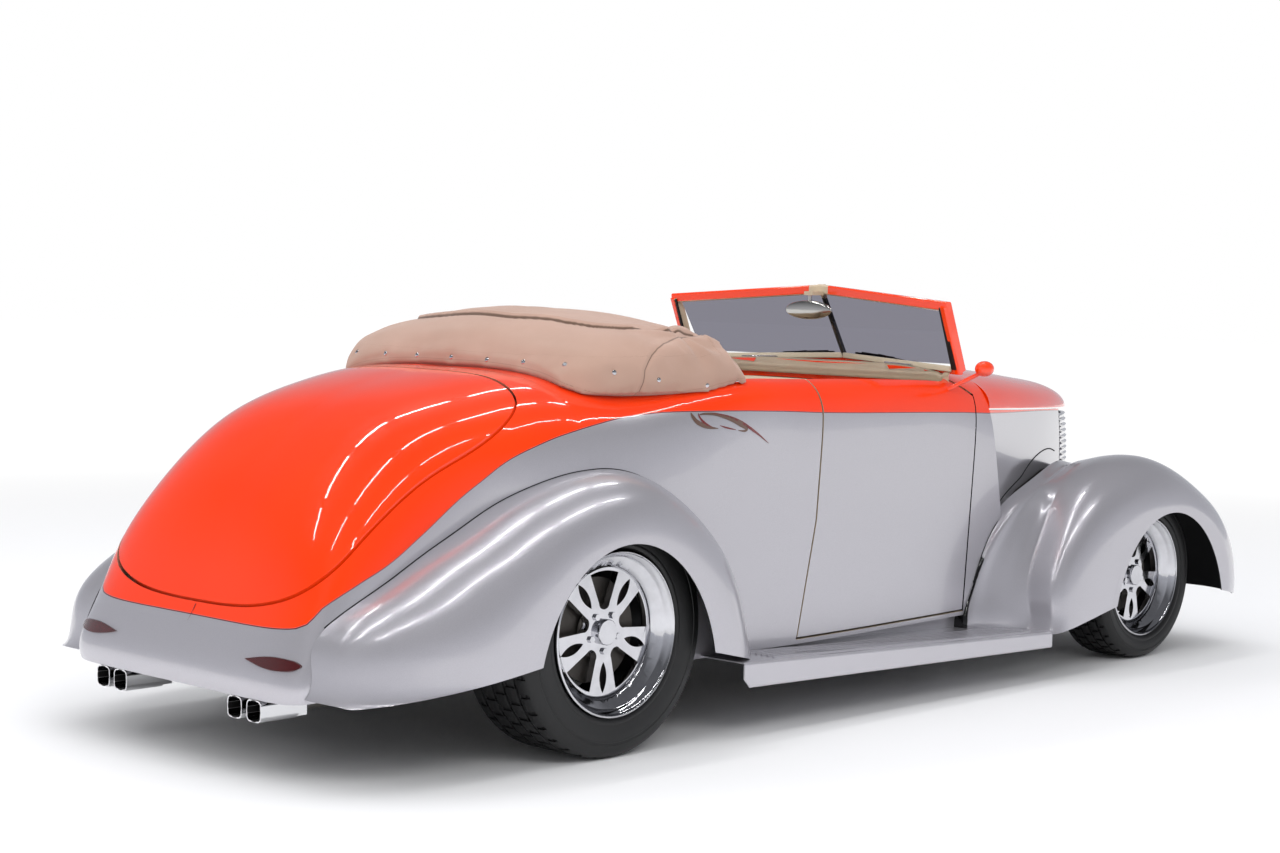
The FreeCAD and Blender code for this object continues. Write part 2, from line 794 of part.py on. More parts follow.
def add_hinge_pockets(cowl):
    # Pockets in the rear edge of the cowl for the straps of both doors, with their pins
    strap_y = door_hinge_y - hinge_strap_drop
    room = hinge_strap_height / 2.0 + running_gap
    front_x = door_hinge_x + hinge_eye_radius + running_gap
    inner_y = strap_y - running_gap - hinge_strap_gauge / 2.0
    outer_y = door_hinge_y + hinge_eye_radius + hinge_pocket_room
    for z in (door_hinge_low_z, door_hinge_high_z):
        pocket = box(door_edge_x(z), front_x, inner_y, outer_y, z - room, z + room)
        pin = hinge_pin(z, hinge_pin_radius, 2.0 * room + hinge_strap_gauge)
        for cut, add in ((pocket, pin), (mirrored(pocket), mirrored(pin))):
            cowl = cowl.cut(cut).fuse(add)
    return cowl


def cabin_solid():
    return sheet_solid(cabin_rows(0.0), cabin_rows(cabin_wall))


def cockpit_prism():
    return rounded_plan(cockpit_rear_x, cockpit_front_x, cockpit_half_width, cockpit_corner_radius,
                        body_base_z + overrun, body_crown_z + overrun)


def hood_cut_prism():
    # Space of the hood and its side panels, taken from the front of the cowl
    top = body_crown_z + overrun
    outline = ((hood_rear_x, top), (hood_rear_x, hood_seam_rear_z), (cowl_front_x, fender_meet_z),
               (cowl_front_x + overrun, fender_meet_z), (cowl_front_x + overrun, top))
    return side_prism(outline, -body_half_width - overrun, body_half_width + overrun)


def fender_cut_prism():
    # Lower front corner of the cowl, behind the front fender
    front_x = cowl_front_x + overrun
    low = body_base_z - overrun
    outline = ((front_x, fender_meet_z), (cowl_front_x, fender_meet_z)) + fender_edge_points
    outline = outline + ((fender_foot_x, low), (front_x, low))
    return side_prism(outline, -body_half_width - overrun, body_half_width + overrun)


def lid_prism(gap):
    # Closed outline carried along the mean normal of the deck
    start = Vector(lid_top_x, 0.0, lid_top_z)
    end = Vector(lid_base_x, 0.0, lid_base_z)
    slope = end - start
    length = slope.Length
    slope.normalize()
    normal = Vector(slope.z, 0.0, -slope.x)
    half = []
    for along, out in lid_corner_share:
        s = along * length
        if along < lid_head_share:
            s = s - gap
        if along > lid_foot_share:
            s = s + gap
        half.append((s, out * lid_half_width + (gap if out > 0.0 else 0.0)))
    ring = half + [(s, -y) for s, y in reversed(half[1:-1])]
    points = [start + slope * s + Vector(0.0, y, 0.0) - normal * lid_depth for s, y in ring]
    curve = Part.BSplineCurve()
    curve.interpolate(points, PeriodicFlag=True)
    face = Part.Face(Part.Wire(curve.toShape()))
    return face.extrude(normal * (2.0 * lid_depth))


def lid_pin(grow):
    # Hinge pin in the gap at the upper edge of the deck lid
    slope = Vector(lid_base_x - lid_top_x, 0.0, lid_base_z - lid_top_z)
    slope.normalize()
    normal = Vector(slope.z, 0.0, -slope.x)
    radius = opening_gap / 2.0
    level = rear_tyre_radius * tail_radius_share[0] + rear_axle_z - lid_pin_depth
    place = Vector(lid_top_x, 0.0, lid_top_z) - slope * (radius + seat_gap)
    place = place + normal * ((level - place.z) / normal.z)
    return cross_rod(place.x, place.z, -lid_pin_half_length, lid_pin_half_length, radius + grow)


def tail_solid():
    return sheet_solid(tail_rows(0.0), tail_rows(tail_wall))


def body_space(clearance):
    # Body form as a cutter for what seats against its outside
    return [sheet_solid(cabin_rows(-clearance), cabin_rows(2.0 * cabin_wall)),
            sheet_solid(tail_rows(-clearance), tail_rows(4.0 * tail_wall))]


def outside_space():
    # All that lies outside the cabin and tail walls, as a cutter for what fits inside
    return [sheet_solid(cabin_rows(-4.0 * overrun), cabin_rows(cabin_wall + seat_gap)),
            sheet_solid(tail_rows(-4.0 * overrun), tail_rows(tail_wall + seat_gap))]


def nose_space(clearance):
    return sheet_solid(side_panel_rows(-clearance, grille_base_z - overrun, nose_end_share),
                       side_panel_rows(side_panel_gauge + overrun, grille_base_z - overrun, nose_end_share))


def cowl_zone():
    # Space ahead of the split between body shell and cowl
    split_x = door_base_front_x + opening_gap
    low = door_base_z - opening_gap
    top = body_crown_z + overrun
    front_x = cowl_front_x + overrun
    outline = ((split_x, 0.0), (split_x, low), (sill_split_x, low), (sill_split_x, top), (front_x, top),
               (front_x, 0.0))
    return side_prism(outline, -body_half_width - overrun, body_half_width + overrun)


def roll_pan_zone():
    rear_x = -rear_overhang - overrun
    outline = ((0.0, 0.0), (rear_x, 0.0), (rear_x, roll_seam_z), (-tail_roll_x, roll_seam_z),
               (0.0, rear_axle_z))
    return side_prism(outline, -body_half_width, body_half_width)


def make_cowl(cabin_open):
    cowl = add_hinge_pockets(cabin_open.common(cowl_zone()))
    pin_x = hood_rear_x + hood_pin_radius - seat_gap
    pin_z = hood_crown_rear_z - hood_pin_drop
    return joined([cowl,
                   cross_rod(pin_x, pin_z, -lid_pin_half_length, lid_pin_half_length, hood_pin_radius)])


def make_roll_pan(tail_open):
    roll_pan = biggest(tail_open.common(roll_pan_zone()))
    for lamp in make_tail_lamps(seat_gap):
        roll_pan = roll_pan.cut(lamp)
    return roll_pan


def make_body_parts():
    wide = body_half_width + overrun
    wheel_space = cross_rod(0.0, rear_axle_z, -wide, wide, wheelhouse_radius)
    cabin = cabin_solid().cut(cockpit_prism()).cut(wheel_space)
    cabin = cabin.cut(hood_cut_prism()).cut(fender_cut_prism())
    opening = door_prism(opening_gap)
    cabin_open = cabin.cut(opening).cut(mirrored(opening))
    door = add_door_straps(biggest(door_prism(0.0).common(cabin)))
    tail = tail_solid()
    tail_open = tail.cut(lid_prism(opening_gap))
    lid = biggest(lid_prism(0.0).common(tail)).cut(lid_pin(seat_gap))
    shell = joined([cabin_open.cut(cowl_zone()), tail_open.cut(roll_pan_zone()), lid_pin(0.0)])
    return shell, make_cowl(cabin_open), make_roll_pan(tail_open), door, biggest(lid)


def rear_fender_rows():
    rows = []
    outer_y = fender_half_width - fender_lip_round
    for i, degrees in enumerate(rear_fender_degrees):
        turn = math.radians(degrees)
        seam_radius = rear_seam_share[i] * rear_tyre_radius
        lip_radius = rear_lip_share[i] * rear_tyre_radius + fender_lip_round
        seam_y = rear_seam_y_share[i] * body_half_width + body_seam_gap
        row = []
        for share in fender_turn_share:
            if share < 0.0:
                y = seam_y + share * (outer_y - seam_y)
                radius = seam_radius - share * fender_flare
            elif share <= 1.0:
                quarter = share * math.pi / 2.0
                y = seam_y + (outer_y - seam_y) * math.sin(quarter)
                radius = lip_radius + (seam_radius - lip_radius) * math.cos(quarter)
            else:
                y = outer_y
                radius = lip_radius - (share - 1.0) * lip_radius
            row.append(Vector(-radius * math.sin(turn), y, rear_axle_z + radius * math.cos(turn)))
        rows.append(row)
    return rows


def front_fender_inner(i):
    # Points of one station from the inner edge up to the crown, as (y, radius)
    crown = front_crown_share[i] * front_tyre_radius
    inner = front_inner_share[i] * front_tyre_radius
    inner_y = front_inner_y_share[i] * fender_half_width
    crown_y = front_crown_y_share[i] * fender_half_width
    points = []
    for share in front_inner_steps_share:
        if share < 0.0:
            points.append((inner_y + fender_half_width * share * tuck_share, inner - share * fender_flare))
        else:
            rise = math.sin(share * math.pi / 2.0) ** front_inner_curve_share
            points.append((inner_y + (crown_y - inner_y) * share, inner + (crown - inner) * rise))
    return points


def front_fender_outer(i):
    # Points of one station from the crown out and down to the lip, as (y, radius)
    crown = front_crown_share[i] * front_tyre_radius
    crown_y = front_crown_y_share[i] * fender_half_width
    lip = front_lip_share[i] * front_tyre_radius + front_lip_round
    power = 2.0 / front_power_share[i]
    points = []
    for share in front_outer_steps_share:
        if share <= 1.0:
            quarter = share * math.pi / 2.0
            y = crown_y + (front_fender_half_width - crown_y) * math.sin(quarter) ** power
            radius = lip + (crown - lip) * math.cos(quarter) ** power
        else:
            y = front_fender_half_width
            radius = lip - (share - 1.0) * lip
        points.append((y, radius))
    return points


def front_fender_rows():
    rows = []
    for i, degrees in enumerate(front_fender_degrees):
        turn = math.radians(degrees)
        row = []
        for y, radius in front_fender_inner(i) + front_fender_outer(i):
            row.append(Vector(front_axle_x + radius * math.sin(turn), y,
                              front_axle_z + radius * math.cos(turn)))
        rows.append(row)
    return rows


def arch_prism(centre_x, centre_z, half_length, height, y_from, y_to):
    ellipse = Part.Ellipse(Vector(centre_x, y_from, centre_z), max(half_length, height),
                           min(half_length, height))
    turned = ellipse.toShape()
    turned.rotate(Vector(centre_x, y_from, centre_z), Vector(1.0, 0.0, 0.0), 90.0)
    if height > half_length:
        turned.rotate(Vector(centre_x, y_from, centre_z), Vector(0.0, 1.0, 0.0), 90.0)
    face = Part.Face(Part.Wire(turned))
    return face.extrude(Vector(0.0, y_to - y_from, 0.0))


def make_rear_fender():
    rows = rear_fender_rows()
    solid = sheet_solid(rows, offset_rows(rows, fender_gauge))
    inner_y = body_half_width * arch_inner_share
    outer_y = fender_half_width + overrun
    arch = arch_prism(rear_arch_x, rear_arch_z, rear_arch_half, rear_arch_height, inner_y, outer_y)
    front_x = board_rear_x - body_seam_gap
    far = x_reach()
    outline = ((far, 0.0), (-far, 0.0), (-far, rear_fender_tip_z)) + rear_fender_base_points
    outline = outline + ((front_x, rear_fender_base_z), (front_x, board_top_rear_z + seat_gap),
                         (board_front_x, board_top_front_z + seat_gap), (far, board_top_front_z))
    base = side_prism(outline, 0.0, outer_y)
    return without(solid.cut(arch).cut(base), body_space(body_seam_gap) + [make_tail_lamps(seat_gap)[1]])


def make_front_fender():
    rows = front_fender_rows()
    solid = sheet_solid(rows, offset_rows(rows, -fender_gauge))
    outer_y = front_fender_half_width + overrun
    arch = arch_prism(front_arch_x, front_arch_z, front_arch_half, front_arch_height, front_wheel_face_y,
                      outer_y)
    far = x_reach()
    level = board_top_front_z + seat_gap
    outline = ((far, 0.0), (-far, 0.0), (-far, board_top(-far)), (board_front_x, level),
               (board_front_x + body_seam_gap, level), (board_front_x + body_seam_gap, front_fender_heel_z),
               (front_fender_low_x, front_fender_low_z), (front_axle_x, front_fender_low_z),
               (front_fender_toe_x, front_fender_toe_z), (far, front_fender_toe_z + front_fender_chin))
    base = side_prism(outline, 0.0, outer_y)
    cutters = [arch, base, body_space(body_seam_gap)[0], nose_space(seat_gap), make_headlamps(seat_gap)[0]]
    return without(solid, cutters)


def board_top(x):
    part = (x - board_rear_x) / (board_front_x - board_rear_x)
    return board_top_rear_z + (board_top_front_z - board_top_rear_z) * part


def board_base(x):
    part = (x - board_rear_x) / (board_front_x - board_rear_x)
    return board_top(x) - board_rear_depth + (board_rear_depth - board_front_depth) * part


def board_outline():
    return ((board_rear_x, board_top_rear_z), (board_front_x, board_top_front_z),
            (board_front_x, board_base(board_front_x)), (board_rear_x + board_nose,
                                                         board_base(board_rear_x)),
            (board_rear_x, board_base(board_rear_x) + board_nose))


def board_ribs():
    ribs = []
    count = int((board_outer_y - body_half_width - rib_pitch) / rib_pitch)
    low_rear = board_top(rib_rear_x) - board_wall / 2.0
    for i in range(count):
        y = body_half_width + body_seam_gap + rib_pitch * (i + 0.5)
        end_x = rib_front_x + (y - body_half_width) * rib_slant_share
        rib = ((rib_rear_x, low_rear), (end_x, board_top(end_x) - board_wall / 2.0),
               (end_x, board_top(end_x) + rib_height), (rib_rear_x, board_top(rib_rear_x) + rib_height))
        ribs.append(side_prism(rib, y, y + rib_width))
    return ribs


def make_running_board():
    # Tapered tray with raised ribs and an upstand that closes the gap under the body
    inner_y = cowl_half_width - board_tuck
    solid = side_prism(board_outline(), inner_y, board_outer_y)
    outer_edges = [e for e in solid.Edges if e.BoundBox.YMax > board_outer_y - seat_gap]
    long_edges = [e for e in outer_edges if e.Length > wheelbase / 4.0]
    solid = solid.makeFillet(board_edge_radius, long_edges)
    low = board_base(board_front_x) - overrun
    rear_x = board_rear_x - overrun
    front_x = board_front_x - board_wall
    hollow = ((rear_x, board_top(rear_x) - board_wall), (front_x, board_top(front_x) - board_wall),
              (front_x, low),
              (rear_x, low))
    solid = solid.cut(side_prism(hollow, inner_y - overrun, board_outer_y - board_wall))
    # Upstand from where the board drops below the body
    level = body_base_z - seat_gap
    fall = (board_top_rear_z - board_top_front_z) / (board_front_x - board_rear_x)
    meet_x = board_rear_x + (board_top_rear_z - level) / fall
    upstand = ((meet_x, level), (meet_x, level - board_wall),
               (board_front_x, board_top_front_z - board_wall),
               (board_front_x, level))
    pieces = [solid] + board_ribs() + [side_prism(upstand, inner_y, inner_y + board_wall)]
    return without(joined(pieces), body_space(seat_gap)[:1])


def hood_plan(x, tip):
    share = max(0.0, (tip - x) / (tip - hood_rear_x))
    return hood_half_width * min(1.0, share) ** hood_plan_power_share


def hood_seam(x):
    part = (x - hood_rear_x) / (hood_tip_x - hood_rear_x)
    return hood_seam_rear_z + (hood_seam_front_z - hood_seam_rear_z) * part


def hood_lid_rows(inset):
    rows = []
    rear_x = hood_rear_x + running_gap
    for i, share in enumerate(nose_station_share):
        x = rear_x + (hood_tip_x - inset - rear_x) * share
        width = max(hood_plan(x, hood_tip_x + hood_tip_reach) - inset, hood_tip_half_width)
        low = hood_seam(x) + running_gap / 2.0
        drop = (hood_crown_rear_z - hood_seam_front_z) * hood_crown_drop_share[i]
        high = hood_crown_rear_z - drop - inset
        power_width = blend((0.0, 1.0), hood_power_width_share, share)
        power_height = blend((0.0, 1.0), hood_power_height_share, share)
        rows.append(section_points(width, low, max(high, low + hood_tip_height), power_height, power_width,
                                   lambda y, z, x=x: Vector(x, y, z)))
    return rows


def make_hood_lid():
    return sheet_solid(hood_lid_rows(0.0), hood_lid_rows(hood_gauge))


def nose_tip(z):
    return blend(nose_level_z, nose_level_x, z)


def side_panel_rows(inset, z_low, along_share):
    # Vertical skin of the hood sides and nose
    rows = []
    for share in side_rise_share:
        row = []
        for along in along_share:
            guess = z_low + (hood_seam_rear_z - z_low) * share
            end_x = nose_tip(guess) if along_share is nose_end_share else grille_rear_x - running_gap
            x = hood_rear_x + (end_x - hood_rear_x) * along
            top = hood_seam(x) - running_gap / 2.0
            z = z_low + (top - z_low) * share
            row.append(Vector(x, hood_plan(x, nose_tip(z)) - inset, z))
        rows.append(row)
    return rows


def make_hood_side():
    rows = side_panel_rows(0.0, side_panel_base_z, side_end_share)
    solid = sheet_solid(rows, side_panel_rows(side_panel_gauge, side_panel_base_z, side_end_share))
    rear_x = hood_rear_x - overrun
    top = body_crown_z + overrun
    outline = ((rear_x, top), (hood_rear_x, top), (hood_rear_x, hood_seam_rear_z),
               (cowl_front_x, fender_meet_z),
               (cowl_front_x, 0.0), (rear_x, 0.0))
    edge = side_prism(outline, 0.0, body_half_width + overrun)
    edge.translate(Vector(body_seam_gap, 0.0, 0.0))
    # Lower edge follows the fender seam
    low_x = cowl_front_x - overrun
    outline = ((low_x, side_panel_heel_z), (cowl_front_x, side_panel_heel_z)) + side_edge_points
    outline = outline + ((grille_rear_x, side_panel_toe_z), (grille_rear_x, 0.0), (low_x, 0.0))
    low_edge = side_prism(outline, 0.0, body_half_width + overrun)
    return biggest(solid.cut(edge).cut(low_edge))


def nose_plate(z, inset, height, rear_x):
    # Slice of the nose between its plan curve and a flat rear edge
    tip = nose_tip(z)
    half = []
    for share in grille_bend_share:
        x = rear_x + (tip - rear_x) * share
        half.append((x - inset * share, max(hood_plan(x, tip) - inset * (1.0 - share), 0.0)))
    ring = [Vector(x, y, z) for x, y in half] + [Vector(x, -y, z) for x, y in reversed(half[:-1])]
    curve = Part.BSplineCurve()
    curve.interpolate(ring)
    edge = curve.toShape()
    face = Part.Face(Part.Wire([edge, Part.makeLine(ring[-1], ring[0])]))
    return face.extrude(Vector(0.0, 0.0, height))


def grille_spine(top):
    levels = (grille_base_z,) + tuple(z for z in nose_level_z if grille_base_z < z < top) + (top,)
    front = [(nose_tip(z) - spine_inset, z) for z in levels]
    back = [(x - spine_depth, z) for x, z in reversed(front)]
    return side_prism(tuple(front + back), -spine_half_width, spine_half_width)


def make_grille():
    # Bars wrap round the nose, held by two rear posts and a centre spine
    pieces = []
    top = hood_seam(grille_rear_x) - grille_top_drop
    step = (top - grille_base_z) / grille_bar_count
    for i in range(grille_bar_count):
        z = grille_base_z + step * (i + 0.5)
        outer = nose_plate(z, 0.0, grille_bar_height, grille_rear_x)
        inner = nose_plate(z, grille_bar_depth, grille_bar_height, grille_rear_x)
        pieces.append(outer.cut(inner))
    outer_y = hood_plan(grille_rear_x, nose_tip(grille_base_z)) - grille_bar_depth / 2.0
    front_x = grille_rear_x + grille_post_depth
    post = box(grille_rear_x, front_x, outer_y - grille_bar_depth, outer_y, grille_base_z, top)
    return joined(pieces + [post, mirrored(post), grille_spine(top)])


def make_front_apron(front_fender):
    rows = []
    for degrees in apron_degrees:
        turn = math.radians(degrees)
        radius = blend(front_fender_degrees, front_inner_share, degrees) * front_tyre_radius
        half = blend(front_fender_degrees, front_inner_y_share,
                     degrees) * fender_half_width - apron_clearance
        row = []
        for share in apron_across_share:
            r = radius + apron_bulge * (1.0 - share * share)
            row.append(Vector(front_axle_x + r * math.sin(turn), half * share,
                              front_axle_z + r * math.cos(turn)))
        rows.append(row)
    solid = sheet_solid(rows, offset_rows(rows, fender_gauge))
    return biggest(solid.cut(front_fender).cut(mirrored(front_fender)))


def screen_point(base, side):
    if base:
        return Vector(screen_base_side_x, side * screen_half_width, screen_base_side_z)
    return Vector(header_side_x, side * screen_half_width, header_side_z)


def bar_between(start, end, width, depth):
    # Straight bar of rounded rectangular section
    axis = end - start
    side = Vector(0.0, 0.0, 1.0).cross(axis)
    if side.Length < 1.0:
        side = Vector(0.0, 1.0, 0.0)
    side.normalize()
    up = axis.cross(side)
    up.normalize()
    corner = []
    for a, b in ((-0.5, -0.5), (0.5, -0.5), (0.5, 0.5), (-0.5, 0.5)):
        corner.append(start + side * (a * width) + up * (b * depth))
    solid = Part.Face(polygon(corner)).extrude(axis)
    long_edges = [e for e in solid.Edges if abs(e.Length - axis.Length) < seat_gap]
    return solid.makeFillet(min(width, depth) * bar_round_share, long_edges)


def make_rear_mirror():
    stem_x = header_centre_x - mirror_stem_back
    top = header_centre_z - bracket_high
    low = header_centre_z - bracket_low
    rear_x = header_centre_x - bracket_reach
    front_x = header_centre_x + bracket_bite
    bracket = box(rear_x, front_x, -bracket_half_width, bracket_half_width, low, top)
    stem_low = Vector(stem_x, 0.0, header_centre_z - mirror_stem_low)
    stem = rod(Vector(stem_x, 0.0, (top + low) / 2.0), stem_low, mirror_stem_radius)
    glass = stretched_ball(rear_mirror_radius, rear_mirror_stretch_share)
    glass.translate(Vector(header_centre_x - rear_mirror_back, 0.0, header_centre_z - rear_mirror_drop))
    return [bracket, stem, glass]


def make_windshield_frame():
    pieces = []
    header_mid = Vector(header_centre_x, 0.0, header_centre_z)
    base_mid = Vector(screen_base_centre_x, 0.0, screen_base_centre_z - screen_foot_drop)
    for side in (-1.0, 1.0):
        top = screen_point(False, side)
        low = screen_point(True, side)
        post_end = (low - top) * screen_end_share
        header_end = (top - header_mid) * screen_end_share
        foot_end = (low - base_mid) * screen_end_share
        pieces.append(bar_between(top - post_end, low, screen_frame_depth, post_width))
        pieces.append(bar_between(header_mid - header_end, top + header_end, screen_frame_depth,
                                  header_height))
        pieces.append(bar_between(base_mid - foot_end, low, screen_frame_depth, screen_foot_height))
    pieces.append(bar_between(header_mid, base_mid, centre_bar_width, screen_foot_height))
    return joined(pieces + make_rear_mirror())


def glass_pane(side):
    mid_top = Vector(header_centre_x, side * pane_centre_gap, header_centre_z - pane_top_drop)
    mid_low = Vector(screen_base_centre_x, side * pane_centre_gap, screen_base_centre_z + pane_base_rise)
    top = screen_point(False, side)
    low = screen_point(True, side)
    inset_top = top + (mid_top - top) * pane_edge_share + Vector(0.0, 0.0, -pane_corner_drop)
    inset_low = low + (mid_low - low) * pane_edge_share + Vector(0.0, 0.0, pane_corner_rise)
    plane_normal = (mid_low - mid_top).cross(inset_top - mid_top)
    plane_normal.normalize()
    gap = (inset_low - mid_top).dot(plane_normal)
    inset_low = inset_low - plane_normal * gap
    face = Part.Face(polygon([mid_top, inset_top, inset_low, mid_low]))
    return face.extrude(plane_normal * glass_gauge)


def make_windshield_glass(frame):
    panes = []
    for side in (-1.0, 1.0):
        pane = glass_pane(side)
        panes.append(biggest(pane.cut(frame)))
    return group(panes)


def make_dashboard():
    front_x = firewall_x - seat_gap
    outline = dash_points + ((front_x, dash_low_z), (front_x, dash_high_z))
    solid = side_prism(outline, -body_half_width, body_half_width)
    solid = solid.cut(outside_space()[0])
    corner = box(door_notch_x - 2.0 * overrun, door_hinge_x, dash_notch_y, body_half_width, 0.0,
                 body_crown_z)
    return biggest(solid.cut(corner).cut(mirrored(corner)))


def make_seat_cushion():
    solid = box(seat_rear_x, seat_front_x, -seat_half_width, seat_half_width, seat_base_z, seat_top_z)
    return solid.makeFillet(seat_round, solid.Edges)


def make_seat_back():
    level = seat_top_z + seat_gap
    outline = seat_back_points + ((seat_back_foot_x, level), (seat_back_rear_x, level))
    solid = side_prism(outline, -seat_half_width, seat_half_width)
    high = seat_top_z + seat_round
    upper = [e for e in solid.Edges if e.BoundBox.ZMin > high and e.Length > seat_half_width]
    return solid.makeFillet(seat_back_round, upper)


def boot_section(x, width, rise):
    half = [(width * out, boot_base_z + rise * up) for out, up in boot_section_share]
    right = [Vector(x, -y, z) for y, z in half]
    left = [Vector(x, y, z) for y, z in reversed(half[:-1])]
    return right + left


def boot_arm(side):
    # Padded end of the cover along the side of the cockpit
    rise = boot_top_z - boot_base_z
    inner = boot_arm_inner_y
    span = boot_half_width - inner
    rows = []
    for along, high in boot_arm_share:
        x = boot_front_x + (boot_arm_x - boot_front_x) * along
        row = []
        for out, up in boot_arm_section_share:
            row.append(Vector(x, side * (inner + span * out), boot_base_z + rise * high * up))
        rows.append(row)
    return closed_below(rows)


def make_boot():
    # Crowned pad over the folded top, with an arm on each side of the cockpit
    rise = boot_top_z - boot_base_z
    rows = []
    for share, width, high in zip(boot_station_share, boot_width_share, boot_height_share):
        x = boot_rear_x + (boot_front_x - boot_rear_x) * share
        rows.append(boot_section(x, boot_half_width * width, rise * high))
    solid = joined([closed_below(rows), boot_arm(-1.0), boot_arm(1.0)])
    return without(solid, body_space(seat_gap))


def make_chassis():
    pieces = []
    half = rail_width / 2.0
    rise = rail_height / 2.0
    for side in (-1.0, 1.0):
        sections = []
        for x, y, z in rail_points:
            corners = ((-half, -rise), (half, -rise), (half, rise), (-half, rise))
            sections.append(polygon([Vector(x, side * y + a, z + b) for a, b in corners]))
        pieces.append(finish(Part.makeLoft(sections, True, True)))
    for place in crossmember_places:
        x, y, z = rail_points[place]
        high = z + rail_height * crossmember_share
        pieces.append(box(x, x + rail_width, -y, y, high - crossmember_height, high))
    return joined(pieces)


def floor_strip(rear_inner, rear_outer, front_inner, front_outer, low, high):
    # Flat strip along the left sill, wider or narrower at the front
    outline = ((bulkhead_x, rear_inner), (firewall_x, front_inner), (firewall_x, front_outer),
               (bulkhead_x, rear_outer))
    return plan_prism(outline, low, high)


def make_tub(side, wide):
    # Wheelhouse over a rear wheel
    arch = wheelhouse_radius - seat_gap
    y0, y1 = sorted((side * tub_inner_y, side * (body_half_width * tail_width_share[1])))
    tub = cross_rod(0.0, rear_axle_z, y0, y1, arch)
    inner0, inner1 = (y0 - overrun, y1 - floor_gauge) if side < 0.0 else (y0 + floor_gauge, y1 + overrun)
    tub = tub.cut(cross_rod(0.0, rear_axle_z, inner0, inner1, arch - floor_gauge))
    return tub.cut(box(-x_reach(), x_reach(), -wide, wide, -overrun, rear_axle_z + axle_travel))


def make_floor():
    # Cockpit floor with its tunnel and sills, rear bulkhead, boot floor, toe board and wheelhouses
    gauge = floor_gauge
    low = rail_base_z + rail_height + seat_gap
    inset = cabin_wall + inner_margin + running_gap + seat_gap
    rear_y = body_half_width - inset
    front_y = cowl_half_width - inset
    wide = body_half_width + overrun
    outline = ((bulkhead_x, -rear_y), (firewall_x, -front_y), (firewall_x, front_y), (bulkhead_x, rear_y))
    pieces = [plan_prism(outline, low, low + gauge)]
    pieces.append(box(bulkhead_x, firewall_x, -tunnel_half_width, tunnel_half_width, low, tunnel_top_z))
    sill_low = body_base_z + gauge
    side_y = body_half_width
    sill = floor_strip(rear_y - gauge, rear_y, front_y - gauge, front_y, sill_low, low + gauge)
    ledge = floor_strip(rear_y - gauge, side_y, front_y - gauge, side_y, sill_low, sill_low + gauge)
    pieces.extend([sill, mirrored(sill), ledge, mirrored(ledge)])
    for x in (bulkhead_x, firewall_x):
        pieces.append(box(x, x + gauge, -wide, wide, low, body_crown_z))
    high = boot_floor_z + gauge
    pieces.append(box(-rear_overhang, bulkhead_x + gauge, -tub_inner_y, tub_inner_y, boot_floor_z, high))
    pieces.append(box(-rear_overhang, -wheelhouse_radius * tub_reach_share, -wide, wide, boot_floor_z,
                      high))
    pieces.extend([make_tub(-1.0, wide), make_tub(1.0, wide)])
    tunnel_inner = tunnel_half_width - gauge
    hollow = box(bulkhead_x - overrun, firewall_x + overrun, -tunnel_inner, tunnel_inner, low - overrun,
                 tunnel_top_z - gauge)
    # Room for the edge of the deck lid to swing
    near_skin = sheet_solid(tail_rows(-overrun), tail_rows(tail_wall + opening_gap))
    near_lid = near_skin.common(lid_prism(opening_gap))
    arch = cross_rod(0.0, rear_axle_z, tub_inner_y + gauge, wide, wheelhouse_radius - seat_gap - gauge)
    whole = joined(pieces)
    return without(whole, [hollow] + outside_space() + [near_lid, arch, mirrored(arch)])


def wheel_section(rim_radius, width):
    # Half section of a wheel as (radius, depth behind the lip): lip, stepped well, barrel, disc and hub
    r = rim_radius
    f = rim_flange
    e = rim_edge
    s = rim_step
    k = rim_radius / rear_rim_radius
    back = width - rim_lip_depth
    disc = disc_radius * k
    brake = brake_radius * k
    bore = spindle_radius + spindle_clearance
    well = ((r + f, e), (r + f, rim_lip_depth), (r - f, rim_lip_depth + s), (r - 3.0 * f, 3.0 * s),
            (r - 5.0 * f, 5.0 * s), (r - 5.0 * f, back - s), (r - f, back), (r + f, back))
    barrel = ((r + f, width), (r - f, width), (r - 6.5 * f, back - s), (r - 6.5 * f, disc_back),
              (disc, disc_back), (1.2 * hub_radius, disc_back))
    disc_rear = brake_depth + brake_gauge
    hub = ((hub_radius, brake_depth), (brake, brake_depth), (brake, disc_rear), (hub_radius, disc_rear),
           (hub_radius, hub_depth), (bore, hub_depth), (bore, spindle_depth))
    cap = ((0.0, spindle_depth), (0.0, cap_depth), (cap_radius, cap_depth), (cap_radius + e, cap_depth + e),
           (cap_radius + e, disc_front - e), (hub_radius, disc_front - e))
    lip = ((disc, disc_front), (disc + e, disc_front - s), (r - 3.8 * f, 2.6 * s), (r - 2.6 * f, 2.3 * s),
           (r - 2.2 * f, 1.1 * s), (r - f, s), (r - f / 2.0, e), (r, 0.0))
    return well + barrel + hub + cap + lip


